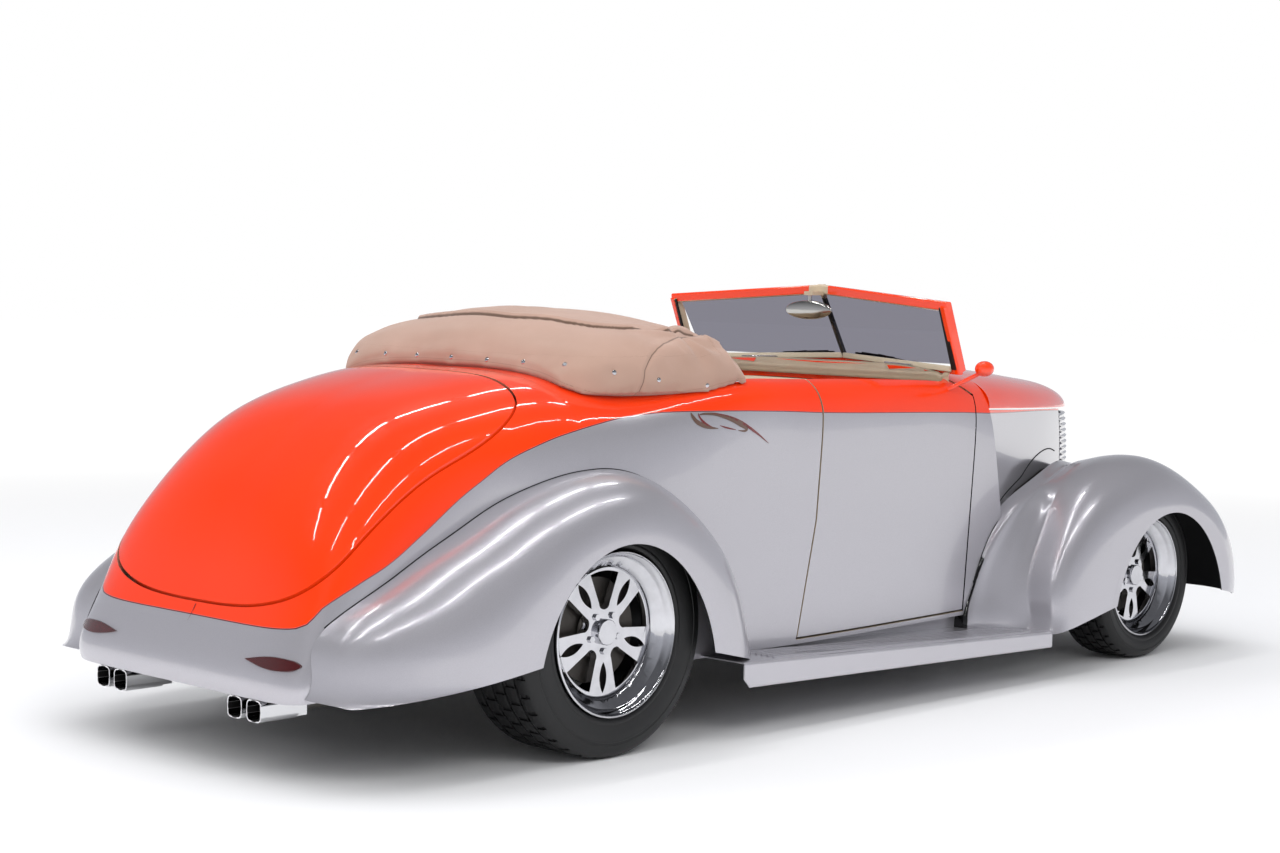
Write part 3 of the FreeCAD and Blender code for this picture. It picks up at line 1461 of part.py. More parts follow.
def wheel_window(k):
    # Opening between two spokes, wide at the disc edge and round at the hub
    low = window_inner_share * disc_radius
    high = window_outer_share * disc_radius * k
    wide = math.radians(window_outer_degrees)
    narrow = math.radians(window_inner_degrees)
    far_left = Vector(-high * math.sin(wide), 0.0, high * math.cos(wide))
    far_right = Vector(high * math.sin(wide), 0.0, high * math.cos(wide))
    near_right = Vector(low * math.sin(narrow), 0.0, low * math.cos(narrow))
    near_left = Vector(-low * math.sin(narrow), 0.0, low * math.cos(narrow))
    root = Vector(0.0, 0.0, low - low * math.sin(narrow) * window_root_share)
    outer = Part.Arc(far_left, Vector(0.0, 0.0, high), far_right).toShape()
    inner = Part.Arc(near_right, root, near_left).toShape()
    wire = Part.Wire([outer, Part.makeLine(far_right, near_right), inner,
                      Part.makeLine(near_left, far_left)])
    return Part.Face(wire).extrude(Vector(0.0, disc_back, 0.0))


def wheel_slot(k):
    # Lens shaped slot that splits a spoke in two
    low = Vector(0.0, 0.0, slot_inner_share * disc_radius)
    high = Vector(0.0, 0.0, slot_outer_share * disc_radius * k)
    middle = (low + high) / 2.0
    side = Vector(slot_half_width, 0.0, 0.0)
    wire = Part.Wire([Part.Arc(low, middle + side, high).toShape(),
                      Part.Arc(high, middle - side, low).toShape()])
    return Part.Face(wire).extrude(Vector(0.0, disc_back, 0.0))


def wheel_nuts():
    nuts = []
    step = 2.0 * math.pi / spoke_count
    for i in range(spoke_count):
        turn = step * (i + 0.5)
        corners = []
        for corner in range(nut_sides):
            a = 2.0 * math.pi * corner / nut_sides
            x = nut_circle_radius * math.sin(turn) + nut_radius * math.cos(a)
            z = nut_circle_radius * math.cos(turn) + nut_radius * math.sin(a)
            corners.append(Vector(x, -disc_front - rim_edge, z))
        nuts.append(Part.Face(polygon(corners)).extrude(Vector(0.0, nut_height, 0.0)))
    return nuts


def make_wheel(axle_x, axle_z, face_y, rim_radius, width):
    k = rim_radius / rear_rim_radius
    origin = Vector(0.0, 0.0, 0.0)
    axis = Vector(0.0, 1.0, 0.0)
    points = [Vector(0.0, -depth, radius) for radius, depth in wheel_section(rim_radius, width)]
    wheel = Part.Face(polygon(points)).revolve(origin, axis, 360.0)
    cuts = []
    step = 360.0 / spoke_count
    for i in range(spoke_count):
        for shape, turn in ((wheel_window(k), step * i), (wheel_slot(k), step * (i + 0.5))):
            shape.translate(Vector(0.0, window_reach - disc_back - rim_edge, 0.0))
            shape.rotate(origin, axis, turn)
            cuts.append(shape)
    wheel = joined([wheel.cut(group(cuts))] + wheel_nuts())
    wheel.translate(Vector(axle_x, face_y, axle_z))
    return wheel


def make_tyre(axle_x, axle_z, face_y, radius, width, rim_radius):
    # Half sections mirrored about the middle of the tread
    bead = rim_radius + rim_flange + seat_gap
    wall = radius - bead
    half = [(bead, tyre_bead_inset)]
    half += [(bead + wall * up, tyre_edge * out) for up, out in tyre_section_share]
    half += [(radius - tyre_edge * down, tyre_edge * out) for down, out in tyre_shoulder_share]
    other = [(r, width - d) for r, d in reversed(half)]
    points = [Vector(axle_x, face_y - d, axle_z + r) for r, d in half + other]
    face = Part.Face(polygon(points))
    return face.revolve(Vector(axle_x, 0.0, axle_z), Vector(0.0, 1.0, 0.0), 360.0)


def make_knuckle():
    # Upright between the ball joints, with its hub flange, spindle and steering arm
    hub_y = front_wheel_face_y - front_wheel_inset - hub_depth - seat_gap
    tip_y = front_wheel_face_y - front_wheel_inset - spindle_depth - running_gap / 2.0
    root_y = hub_y - hub_flange_gauge
    flange = cross_rod(front_axle_x, front_axle_z, root_y, hub_y, hub_radius)
    spindle = cross_rod(front_axle_x, front_axle_z, root_y, tip_y, spindle_radius)
    reach = ball_height - ball_radius - seat_gap
    inner_y = king_pin_y - knuckle_half_width
    outer_y = king_pin_y + knuckle_half_width
    edge_y = hub_y - rim_edge
    outline = ((inner_y, -reach), (outer_y, -reach), (edge_y, -knuckle_flange_half),
               (edge_y, knuckle_flange_half),
               (outer_y, reach), (inner_y, reach))
    face = Part.Face(polygon([Vector(front_axle_x - knuckle_half_length, y, front_axle_z + z) for y,
                              z in outline]))
    upright = face.extrude(Vector(2.0 * knuckle_half_length, 0.0, 0.0))
    arm = box(front_axle_x - steering_arm_length, front_axle_x, king_pin_y - steering_arm_inner, outer_y,
              front_axle_z - steering_arm_low, front_axle_z - steering_arm_high)
    return joined([flange, spindle, upright, arm])


def wishbone(z, inner_y):
    # Two legs from their bushes to the ball joint, on the left side
    tip = Vector(front_axle_x, king_pin_y, z)
    pieces = [Part.makeSphere(ball_radius, tip)]
    for x in (front_axle_x - wishbone_half, front_axle_x + wishbone_half):
        pieces.append(rod(Vector(x, inner_y + wishbone_plate_gauge, z), tip, wishbone_radius))
        pieces.append(cross_rod(x, z, inner_y, inner_y + wishbone_bush_length, wishbone_bush_radius))
    return pieces


def make_front_suspension():
    inner_y = front_rail_half_spacing + rail_width / 2.0 + seat_gap
    low = front_axle_z - ball_height
    high = front_axle_z + ball_height
    arms = wishbone(low, inner_y) + wishbone(high, inner_y)
    for x in (front_axle_x - wishbone_half, front_axle_x + wishbone_half):
        plate_y = inner_y + wishbone_plate_gauge
        arms.append(box(x - wishbone_plate_half, x + wishbone_plate_half, inner_y, plate_y, low, high))
    shock_top = Vector(front_axle_x, inner_y + wishbone_bush_length, high + shock_top_rise)
    arms.append(rod(Vector(front_axle_x, king_pin_y - shock_foot_inset, low), shock_top, shock_radius))
    left = joined(arms)
    return [left, mirrored(left)]


def make_rear_axle():
    hub_y = rear_wheel_face_y - hub_depth - seat_gap
    tip_y = rear_wheel_face_y - spindle_depth - running_gap / 2.0
    centre = Vector(0.0, 0.0, rear_axle_z)
    pieces = [cross_rod(0.0, rear_axle_z, -hub_y, hub_y, axle_tube_radius)]
    pieces.append(Part.makeSphere(axle_pumpkin_radius, centre))
    flange = cross_rod(0.0, rear_axle_z, hub_y - hub_flange_gauge, hub_y, hub_radius)
    pieces.extend([flange, mirrored(flange), cross_rod(0.0, rear_axle_z, -tip_y, tip_y, spindle_radius)])
    pieces.append(rod(centre, Vector(driveshaft_front_x, 0.0, driveshaft_front_z), driveshaft_radius))
    rail_x, rail_y, rail_z = rail_points[2]
    foot = Vector(0.0, rail_y, rear_axle_z)
    spring = rod(foot, Vector(0.0, rail_y, rail_z - rail_height / 2.0 - seat_gap), spring_radius)
    return joined(pieces + [spring, mirrored(spring)])


def make_engine():
    return joined([box(x0, x1, -half, half, z0, z1) for x0, x1, half, z0, z1 in engine_blocks])


def make_radiator():
    rear_x = radiator_front_x - radiator_depth
    core = box(rear_x, radiator_front_x, -radiator_half_width, radiator_half_width, radiator_base_z,
               radiator_top_z)
    last, end = rail_points[-2:]
    slope = (end[2] - last[2]) / (end[0] - last[0])
    low = end[2] + rail_height / 2.0 - slope * (end[0] - radiator_front_x) + seat_gap
    foot_x = radiator_front_x - radiator_depth * radiator_foot_share
    half = front_rail_half_spacing
    return joined([core, box(foot_x, radiator_front_x, -half, half, low, radiator_base_z)])


def make_fuel_tank():
    half = rail_points[0][1] - rail_width / 2.0 - seat_gap
    solid = box(-tank_rear, -tank_front, -half, half, tank_base_z, tank_top_z)
    return solid.makeFillet(tank_round, solid.Edges)


def tip_block(rear_x, front_x, y, half_width, half_height, corner):
    low = exhaust_tip_z - half_height
    high = exhaust_tip_z + half_height
    block = box(rear_x, front_x, y - half_width, y + half_width, low, high)
    return block.makeFillet(corner, [e for e in block.Edges if e.Length > (front_x - rear_x) - seat_gap])


def exhaust_tip(y):
    # Rounded square tip, open to the rear
    half_width = exhaust_tip_width / 2.0
    half_height = exhaust_tip_height / 2.0
    wall = exhaust_wall
    rear_x = exhaust_tip_rear_x
    front_x = rear_x + exhaust_tip_length
    outer = tip_block(rear_x, front_x, y, half_width, half_height, exhaust_tip_round)
    inner = tip_block(rear_x - wall, front_x - exhaust_back_wall, y, half_width - wall, half_height - wall,
                      exhaust_tip_round - wall)
    return outer.cut(inner)


def pipe_run(points, radius):
    places = [Vector(x, y, z) for x, y, z in points]
    pieces = [rod(a, b, radius) for a, b in zip(places, places[1:])]
    return pieces + [Part.makeSphere(radius, place) for place in places[1:-1]]


def make_exhaust():
    radius = exhaust_pipe_radius
    pieces = [exhaust_tip(exhaust_inner_y), exhaust_tip(exhaust_outer_y)]
    rear_x = exhaust_tip_rear_x + exhaust_tip_length - exhaust_back_wall / 2.0
    front_x = exhaust_tip_rear_x + exhaust_box_front
    low = exhaust_tip_z - exhaust_box_half_height
    high = exhaust_tip_z + exhaust_box_half_height
    half = exhaust_box_half_width
    pieces.append(box(rear_x, front_x, exhaust_mid_y - half, exhaust_mid_y + half, low, high))
    pieces.extend(pipe_run(exhaust_run_points, radius) + pipe_run(exhaust_front_points, radius))
    level = exhaust_tip_z + silencer_rise
    silencer_rear = Vector(silencer_rear_x, exhaust_run_y, level)
    pieces.append(rod(silencer_rear, Vector(silencer_front_x, exhaust_run_y, level), silencer_radius))
    pieces.append(box(manifold_rear_x, manifold_front_x, manifold_inner_y, manifold_outer_y,
                      manifold_base_z,
                      manifold_top_z))
    left = joined(pieces + pipe_run(exhaust_neck_points, manifold_neck_radius))
    return [left, mirrored(left)]


def make_tail_lamps(grow):
    # Teardrop lenses let into the roll pan, following its skin
    length = tail_lamp_outer_y - tail_lamp_tip_y + 2.0 * grow
    height = tail_lamp_height + 2.0 * grow
    rear_x = -rear_overhang - overrun
    points = []
    for along, up in lamp_outline_share:
        points.append(Vector(rear_x, tail_lamp_tip_y - grow + length * along, tail_lamp_z + height * up))
    curve = Part.BSplineCurve()
    curve.interpolate(points)
    lens = Part.Face(Part.Wire(curve.toShape())).extrude(Vector(2.0 * overrun, 0.0, 0.0))
    band = sheet_solid(tail_rows(-tail_lamp_proud - grow), tail_rows(tail_lamp_depth + grow))
    lens = biggest(lens.common(band))
    return [mirrored(lens), lens]


def make_headlamps(grow):
    lamp = stretched_ball(headlamp_radius + 3.0 * grow, headlamp_stretch_share)
    lamp.translate(Vector(headlamp_x, headlamp_y, headlamp_z))
    return [lamp, mirrored(lamp)]


def make_mirror(door):
    head = stretched_ball(side_mirror_radius, side_mirror_stretch_share)
    head.translate(Vector(side_mirror_x, side_mirror_y, side_mirror_z))
    foot = Vector(side_mirror_foot_x, side_mirror_foot_y, side_mirror_foot_z)
    root = Vector(side_mirror_x, side_mirror_y, side_mirror_z - side_mirror_arm_drop)
    arm = rod(root, foot, side_mirror_arm_radius)
    return biggest(joined([head, arm]).cut(door))


def make_steering():
    low = Vector(column_low_x, column_y, column_low_z)
    centre = Vector(column_high_x, column_y, column_high_z)
    unit = centre - low
    unit.normalize()
    column = rod(low - unit * 2.0 * overrun, centre - unit * (steering_hub_back + seat_gap), column_radius)
    front_x = firewall_x - seat_gap
    column = column.cut(box(front_x, front_x + x_reach(), column_y - overrun, column_y + overrun, 0.0,
                            column_high_z))
    ring = Part.makeTorus(steering_wheel_radius, steering_wheel_grip, centre, unit)
    hub = Part.makeCylinder(steering_hub_radius, steering_hub_length, centre - unit * steering_hub_back,
                            unit)
    pieces = [ring, hub]
    half = steering_spoke_half
    gauge = steering_spoke_gauge / 2.0
    for degrees in (0.0, 120.0, 240.0):
        spoke = box(-half, half, steering_hub_radius / 2.0, steering_wheel_radius, -gauge, gauge)
        spoke.rotate(Vector(0.0, 0.0, 0.0), Vector(0.0, 0.0, 1.0), degrees)
        turned = FreeCAD.Placement(centre, FreeCAD.Rotation(Vector(0.0, 0.0, 1.0), unit))
        spoke.Placement = turned.multiply(spoke.Placement)
        pieces.append(spoke)
    return biggest(column), joined(pieces)


def export(name, shape):
    moved = shape.copy()
    moved.translate(body_origin)
    moved.exportStep("parts/" + name + ".step")
    size = moved.BoundBox
    reach = [round(v) for v in (size.XMin, size.XMax, size.YMin, size.YMax, size.ZMin, size.ZMax)]
    print(name, len(moved.Solids), moved.isValid(), round(moved.Volume / 1000.0), reach)


def export_pair(name, left):
    export(name + "_left", left)
    export(name + "_right", mirrored(left))


def export_body():
    shell, cowl, roll_pan, door, lid = make_body_parts()
    for name, shape in (("body_shell", shell), ("cowl", cowl), ("roll_pan", roll_pan), ("deck_lid", lid)):
        export(name, shape)
    export_pair("door", door)
    export_pair("side_mirror", make_mirror(door))


def export_panels():
    export_pair("rear_fender", make_rear_fender())
    front_fender = make_front_fender()
    export_pair("front_fender", front_fender)
    export_pair("running_board", biggest(make_running_board().cut(front_fender)))
    export_pair("hood_side", make_hood_side())
    export("hood_lid", make_hood_lid())
    export("grille", without(make_grille(), [front_fender, mirrored(front_fender)]))
    export("front_apron", make_front_apron(front_fender))


def export_cabin():
    frame = without(make_windshield_frame(), body_space(0.0)[:1])
    export("windshield_frame", frame)
    export("windshield_glass", make_windshield_glass(frame))
    export("dashboard", make_dashboard())
    export("seat_cushion", make_seat_cushion())
    export("seat_back", make_seat_back())
    export("top_boot", make_boot())
    export("floor_pan", make_floor())
    column, wheel = make_steering()
    export("steering_column", column)
    export("steering_wheel", wheel)


def export_chassis():
    export("chassis_frame", make_chassis())
    export("engine_block", make_engine())
    export("radiator", make_radiator())
    export("fuel_tank", make_fuel_tank())
    export("exhaust_system", group(make_exhaust()))
    export("tail_lights", group(make_tail_lamps(0.0)))
    export("headlights", group(make_headlamps(0.0)))
    export("front_suspension", group(make_front_suspension()))
    export("rear_axle", make_rear_axle())
    export_pair("knuckle", make_knuckle())


def export_wheels():
    face_y = front_wheel_face_y - front_wheel_inset
    export_pair("rim_rear",
                make_wheel(0.0, rear_axle_z, rear_wheel_face_y, rear_rim_radius, rear_rim_width))
    export_pair("rim_front",
                make_wheel(front_axle_x, front_axle_z, face_y, front_rim_radius, front_rim_width))
    export_pair("tyre_rear",
                make_tyre(0.0, rear_axle_z, rear_wheel_face_y, rear_tyre_radius, rear_tyre_width,
                                       rear_rim_radius))
    export_pair("tyre_front", make_tyre(front_axle_x, front_axle_z, front_wheel_face_y, front_tyre_radius,
                                        front_tyre_width, front_rim_radius))


def main():
    os.makedirs("parts", exist_ok=True)
    export_body()
    export_panels()
    export_cabin()
    export_chassis()
    export_wheels()


main()
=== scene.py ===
import bpy
import bmesh
import json
import math
import numpy as np
from mathutils import Matrix, Vector, noise
from mathutils.bvhtree import BVHTree


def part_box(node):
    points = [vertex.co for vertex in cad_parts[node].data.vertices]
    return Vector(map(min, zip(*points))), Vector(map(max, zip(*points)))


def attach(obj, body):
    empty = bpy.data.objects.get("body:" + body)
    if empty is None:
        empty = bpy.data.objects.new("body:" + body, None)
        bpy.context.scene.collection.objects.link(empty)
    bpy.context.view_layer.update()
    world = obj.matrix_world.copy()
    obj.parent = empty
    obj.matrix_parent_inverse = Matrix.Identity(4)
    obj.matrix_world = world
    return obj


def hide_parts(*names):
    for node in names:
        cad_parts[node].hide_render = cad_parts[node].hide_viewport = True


# Street rod roadster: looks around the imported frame, in metres, X forward, Y left, Z up.
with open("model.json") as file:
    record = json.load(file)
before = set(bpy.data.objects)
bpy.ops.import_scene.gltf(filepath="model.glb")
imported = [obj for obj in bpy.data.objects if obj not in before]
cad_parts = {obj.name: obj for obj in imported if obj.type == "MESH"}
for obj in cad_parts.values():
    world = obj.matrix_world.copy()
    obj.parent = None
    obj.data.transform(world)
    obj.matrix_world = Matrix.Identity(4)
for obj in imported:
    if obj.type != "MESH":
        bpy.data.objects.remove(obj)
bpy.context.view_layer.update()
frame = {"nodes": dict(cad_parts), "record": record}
nodes = frame["nodes"]
scene = bpy.context.scene
scene.view_settings.view_transform = "Standard"
MM = 0.001

# camera, solved from the photograph with a scratch script
YAW = 0.767795
PITCH = -0.0673412
ROLL = 0.0194007
CAMERA_PLACE = Vector((-6.1981, -5.64702, 1.44394))
SENSOR_WIDTH = 36.0
PHOTO_WIDTH = 1280.0
FOCAL_PIXELS = 2394.93


def place_camera():
    forward = Vector((math.cos(PITCH) * math.cos(YAW), math.cos(PITCH) * math.sin(YAW), math.sin(PITCH)))
    right = forward.cross(Vector((0.0, 0.0, 1.0))).normalized()
    up = right.cross(forward)
    right_turned = right * math.cos(ROLL) + up * math.sin(ROLL)
    up_turned = right_turned.cross(forward)
    data = bpy.data.cameras.new("photo_camera")
    data.sensor_width = SENSOR_WIDTH
    data.lens = SENSOR_WIDTH * FOCAL_PIXELS / PHOTO_WIDTH
    data.clip_end = 200.0
    camera = bpy.data.objects.new("photo_camera", data)
    turned = Matrix((right_turned, up_turned, -forward)).transposed().to_4x4()
    camera.matrix_world = Matrix.Translation(CAMERA_PLACE) @ turned
    scene.collection.objects.link(camera)
    scene.camera = camera


place_camera()


# places measured from the frame
def centre_of(node):
    low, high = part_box(node)
    return (low + high) / 2.0


REAR_AXLE = centre_of("tyre_rear_right")
FRONT_AXLE = centre_of("tyre_front_right")


def car(x, y, z):
    """A place in millimetres from the rear axle, the centre plane and the ground, in the frame's metres."""
    return Vector((REAR_AXLE.x + x * MM, y * MM, z * MM))


# shader helpers
class Socket:
    """A shader value with arithmetic on it."""

    def __init__(self, maker, value):
        self.maker = maker
        self.value = value

    def _math(self, kind, other=None, third=None):
        return self.maker.math(kind, self, other, third)

    def __add__(self, other):
        return self._math("ADD", other)

    __radd__ = __add__

    def __sub__(self, other):
        return self._math("SUBTRACT", other)

    def __rsub__(self, other):
        return self.maker.math("SUBTRACT", other, self)

    def __mul__(self, other):
        return self._math("MULTIPLY", other)

    __rmul__ = __mul__

    def __truediv__(self, other):
        return self._math("DIVIDE", other)

    def __gt__(self, other):
        return self._math("GREATER_THAN", other)

    def __lt__(self, other):
        return self._math("LESS_THAN", other)

    def above(self, other, soft):
        """0 below other and 1 above it, over a width of soft."""
        return ((self - other) / soft + 0.5).clamped()

    def between(self, low, high, soft):
        return self.above(low, soft) * (1.0 - self.above(high, soft))

    def clamped(self):
        return self._math("MINIMUM", 1.0)._math("MAXIMUM", 0.0)

    def limited(self, low, high):
        return self._math("MINIMUM", high)._math("MAXIMUM", low)

    def absolute(self):
        return self._math("ABSOLUTE")

    def wave(self):
        return self._math("SINE")

    def root(self):
        return self._math("SQRT")


class Maker:
    """Builds the nodes of one material."""

    def __init__(self, name):
        self.material = bpy.data.materials.new(name)
        self.material.use_nodes = True
        self.tree = self.material.node_tree
        self.shader = self.tree.nodes["Principled BSDF"]
        self.coords = {}

    def put(self, value, socket):
        if isinstance(value, Socket):
            self.tree.links.new(value.value, socket)
        else:
            socket.default_value = value

    def node(self, kind, inputs=(), output=0, **settings):
        made = self.tree.nodes.new(kind)
        for key, value in settings.items():
            setattr(made, key, value)
        for key, value in dict(inputs).items():
            self.put(value, made.inputs[key])
        return Socket(self, made.outputs[output])

    def math(self, kind, a, b=None, c=None):
        inputs = {0: a}
        if b is not None:
            inputs[1] = b
        if c is not None:
            inputs[2] = c
        return self.node("ShaderNodeMath", inputs, operation=kind)

    def place(self, kind="Object"):
        if kind not in self.coords:
            self.coords[kind] = self.node("ShaderNodeTexCoord", output=kind)
        return self.coords[kind]

    def axes(self, kind="Object"):
        split = self.tree.nodes.new("ShaderNodeSeparateXYZ")
        self.tree.links.new(self.place(kind).value, split.inputs[0])
        return [Socket(self, out) for out in split.outputs]

    def attribute(self, name):
        return self.node("ShaderNodeAttribute", output="Fac", attribute_name=name)

    def noise(self, scale, detail=3.0, output="Fac"):
        return self.node("ShaderNodeTexNoise",
                         {"Vector": self.place(), "Scale": scale, "Detail": detail}, output)

    def mix(self, share, a, b):
        made = self.tree.nodes.new("ShaderNodeMix")
        made.data_type = "RGBA"
        self.put(share, made.inputs[0])
        self.put(a, made.inputs[6])
        self.put(b, made.inputs[7])
        return Socket(self, made.outputs[2])

    def bump(self, height, strength, distance):
        return self.node("ShaderNodeBump", {"Height": height, "Strength": strength,
                                            "Distance": distance}, "Normal")

    def set(self, **values):
        for key, value in values.items():
            self.put(value, self.shader.inputs[key.replace("_", " ")])
        return self.material


def colour(r, g, b):
    """A linear colour from values of 0 to 255 as a screen shows them."""
    out = []
    for v in (r, g, b):
        c = v / 255.0
        out.append(c / 12.92 if c <= 0.04045 else ((c + 0.055) / 1.055) ** 2.4)
    return (out[0], out[1], out[2], 1.0)


ORANGE = colour(246, 60, 0)
ORANGE_DEEP = colour(238, 50, 0)
SILVER_DARK = colour(176, 174, 180)
SILVER_LIGHT = colour(200, 198, 204)
STRIPE_RED = colour(110, 28, 30)
TAN_DARK = colour(162, 132, 116)
TAN = colour(184, 152, 136)
TRIM_TAN = colour(196, 178, 152)
SATIN_BLACK = colour(26, 26, 27)
LINER_BLACK = colour(34, 34, 35)


# materials
def curve_height(x, table):
    """Height over x, on a smooth curve through the points of table."""
    low_x, high_x = table[0][0], table[-1][0]
    low_z = min(z for _, z in table)
    high_z = max(z for _, z in table)
    share = ((x - low_x) / (high_x - low_x)).clamped()
    made = x.maker.tree.nodes.new("ShaderNodeFloatCurve")
    line = made.mapping.curves[0]
    for k, (px, pz) in enumerate(table):
        spot = ((px - low_x) / (high_x - low_x), (pz - low_z) / (high_z - low_z))
        if k in (0, len(table) - 1):
            line.points[0 if k == 0 else len(line.points) - 1].location = spot
        else:
            line.points.new(*spot)
    made.mapping.update()
    x.maker.put(share, made.inputs["Value"])
    return Socket(x.maker, made.outputs[0]) * (high_z - low_z) + low_z


# Paint line of the sides, as (x, z) in millimetres from the rear axle and the ground. Points picked by
# hand on the photograph were carried by a scratch script, with the solved camera, onto upright planes at
# chosen distances from the centre plane. From x 1035 on they lie 3 to 14 millimetres under where the belt
# and the hood seam were read. The line was then smoothed, and its tail end was moved.
PAINT_LINE = ((-952.5, 418), (-920, 434), (-860, 500), (-783, 551), (-677, 607), (-579, 673),
              (-380, 812), (-195, 908), (57, 971),
              (286, 997), (524, 999), (816, 991), (1035, 980), (1863, 952), (2040, 943), (2850, 911),
              (3330, 881))
STRIPE_DROP = 0.0002
STRIPE_WIDTH = 0.0024


def two_tone_paint(name, core, reach, inside, inside_rough=0.7):
    """Orange over silver with a dark red stripe; faces that look towards the core get the inside colour, and
    the door jambs get painted shade in satin black.
    """
    m = Maker(name)
    x, y, z = m.axes()
    nx, ny, nz = m.axes("Normal")
    line = curve_height(x, [(car(px, 0, 0).x, pz * MM) for px, pz in PAINT_LINE])
    share = z.above(line, 0.0012)
    stripe = (line - z).between(STRIPE_DROP, STRIPE_DROP + STRIPE_WIDTH, 0.0008)
    flake = m.noise(700.0, 1.0)
    silver = m.mix(flake, SILVER_DARK, SILVER_LIGHT)
    silver = m.mix(stripe, silver, STRIPE_RED)
    orange = m.mix(m.noise(3.0, 1.0), ORANGE_DEEP, ORANGE)
    core_x = x.limited(core.x - reach, core.x + reach)
    outward = nx * (x - core_x) + ny * (y - core.y) + nz * (z - core.z)
    inner = 1.0 - outward.above(-0.05, 0.01)
    painted = m.mix(share, silver, orange)
    # Painted shade in the door gaps: the jamb faces round the doors, and the faces low down under them, are
    # painted satin black so the gaps read dark.
    near_door = x.between(car(880, 0, 0).x, car(2000, 0, 0).x, 0.004)
    door_gap_shade = (near_door * nx.absolute().above(0.6, 0.1) * y.absolute().above(0.5, 0.002)
            * (1.0 - z.above(1.055, 0.002)))
    door_gap_shade = (door_gap_shade + near_door * nz.absolute().above(0.6, 0.1) * (1.0 - z.above(0.27, 0.002))).clamped()
    painted = m.mix(door_gap_shade, painted, SATIN_BLACK)
    metal = (1.0 - share) * (1.0 - inner) * 0.6
    m.set(Base_Color=m.mix(inner, painted, inside), Metallic=metal)
    m.set(Roughness=inner * (inside_rough - 0.28) + 0.28, Coat_Weight=1.0 - inner, Coat_Roughness=0.02,
          Specular_IOR_Level=0.1)
    return m.material


def plain(name, base, rough, metal=0.0, coat=0.0, grain=0.0, grain_scale=300.0):
    m = Maker(name)
    shade = m.noise(14.0, 3.0)
    dark = tuple(c * 0.86 for c in base[:3]) + (1.0,)
    m.set(Base_Color=m.mix(shade, dark, base), Roughness=rough, Metallic=metal, Coat_Weight=coat)
    if grain:
        m.set(Normal=m.bump(m.noise(grain_scale, 4.0), grain, 0.0006))
    return m.material


def silver_paint():
    m = Maker("silver_paint")
    flake = m.noise(700.0, 1.0)
    m.set(Base_Color=m.mix(flake, SILVER_DARK, SILVER_LIGHT), Metallic=0.45, Roughness=0.28, Coat_Weight=1.0)
    return m.material


def grille_finish():
    m = Maker("grille_silver")
    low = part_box("grille")[0]
    x = m.axes()[0]
    front = x.above(low.x + 0.012, 0.004)
    m.set(Base_Color=m.mix(front, LINER_BLACK, SILVER_LIGHT), Metallic=front * 0.75, Roughness=0.24,
          Coat_Weight=front)
    return m.material


def canvas():
    m = Maker("tan_canvas")
    x, y, z = m.axes()
    weave = (x * 4200.0).wave() * (y * 4200.0).wave() + (z * 4200.0).wave() * 0.5
    shade = m.noise(5.0, 4.0)
    fold = m.attribute("fold").absolute()
    seam = m.attribute("seam").absolute()
    hem = (m.attribute("hem") - 0.020).absolute()
    # Painted shadow: a dark band along the raised fold, in the same dark brown as the seam line and the
    # stitches.
    fold_shadow = 1.0 - fold.above(0.0032, 0.0028)
    line = 1.0 - seam.above(0.0018, 0.0012)
    stitch = (1.0 - hem.above(0.0011, 0.0008)) * ((x + y) * 1400.0).wave().above(-0.3, 0.4)
    cloth = m.mix(shade, TAN_DARK, TAN)
    cloth = m.mix((fold_shadow * 0.95 + line * 0.7 + stitch * 0.4).clamped(), cloth, colour(92, 70, 56))
    m.set(Base_Color=cloth, Roughness=0.92, Sheen_Weight=0.15, Normal=m.bump(weave, 0.25, 0.0003))
    return m.material


def leather(name, base, dark):
    m = Maker(name)
    grain = m.noise(380.0, 5.0)
    shade = m.noise(6.0, 3.0)
    m.set(Base_Color=m.mix(shade, dark, base), Roughness=0.52, Normal=m.bump(grain, 0.3, 0.0005))
    return m.material


def seat_leather():
    m = Maker("tan_leather")
    y = m.axes()[1]
    grain = m.noise(380.0, 5.0)
    pitch = SEAT_CHANNEL * MM
    phase = (y / pitch * math.pi).wave().absolute()
    seam = 1.0 - phase.above(0.045, 0.03)
    m.set(Base_Color=m.mix(seam * 0.75, m.mix(m.noise(6.0, 3.0), colour(176, 152, 122),
                                              colour(192, 168, 138)), colour(88, 68, 50)))
    m.set(Roughness=0.52, Normal=m.bump(grain, 0.3, 0.0005))
    return m.material


def rubber():
    m = Maker("tyre_rubber")
    dust = m.noise(40.0, 4.0)
    m.set(Base_Color=m.mix(dust, colour(15, 15, 16), colour(24, 24, 25)), Roughness=0.5,
          Normal=m.bump(m.noise(500.0, 3.0), 0.2, 0.0003))
    return m.material


def steering_wheel_finish():
    """Wood on the rim, polished metal on the spokes and the hub."""
    m = Maker("varnished_wood")
    x, y, z = m.axes()
    hub = centre_of("steering_wheel")
    away = ((x - hub.x) * (x - hub.x) + (y - hub.y) * (y - hub.y) + (z - hub.z) * (z - hub.z)).root()
    rim = away.above(WOOD_RADIUS * MM, 0.001)
    grain = m.noise(60.0, 6.0)
    timber = m.mix(grain, colour(84, 38, 20), colour(140, 74, 42))
    m.set(Base_Color=m.mix(rim, colour(205, 205, 208), timber), Metallic=1.0 - rim, Roughness=0.2,
          Coat_Weight=rim)
    return m.material


def smoked_glass():
    m = Maker("smoked_glass")
    m.set(Base_Color=(0.235, 0.230, 0.272, 1.0), Roughness=0.0, Transmission_Weight=1.0, IOR=1.05)
    return m.material


def lens_red():
    m = Maker("red_lens")
    y = m.axes()[1]
    ribs = (y * 1500.0).wave()
    m.set(Base_Color=colour(66, 12, 14), Roughness=0.1, Coat_Weight=1.0, Normal=m.bump(ribs, 0.25, 0.0006))
    return m.material


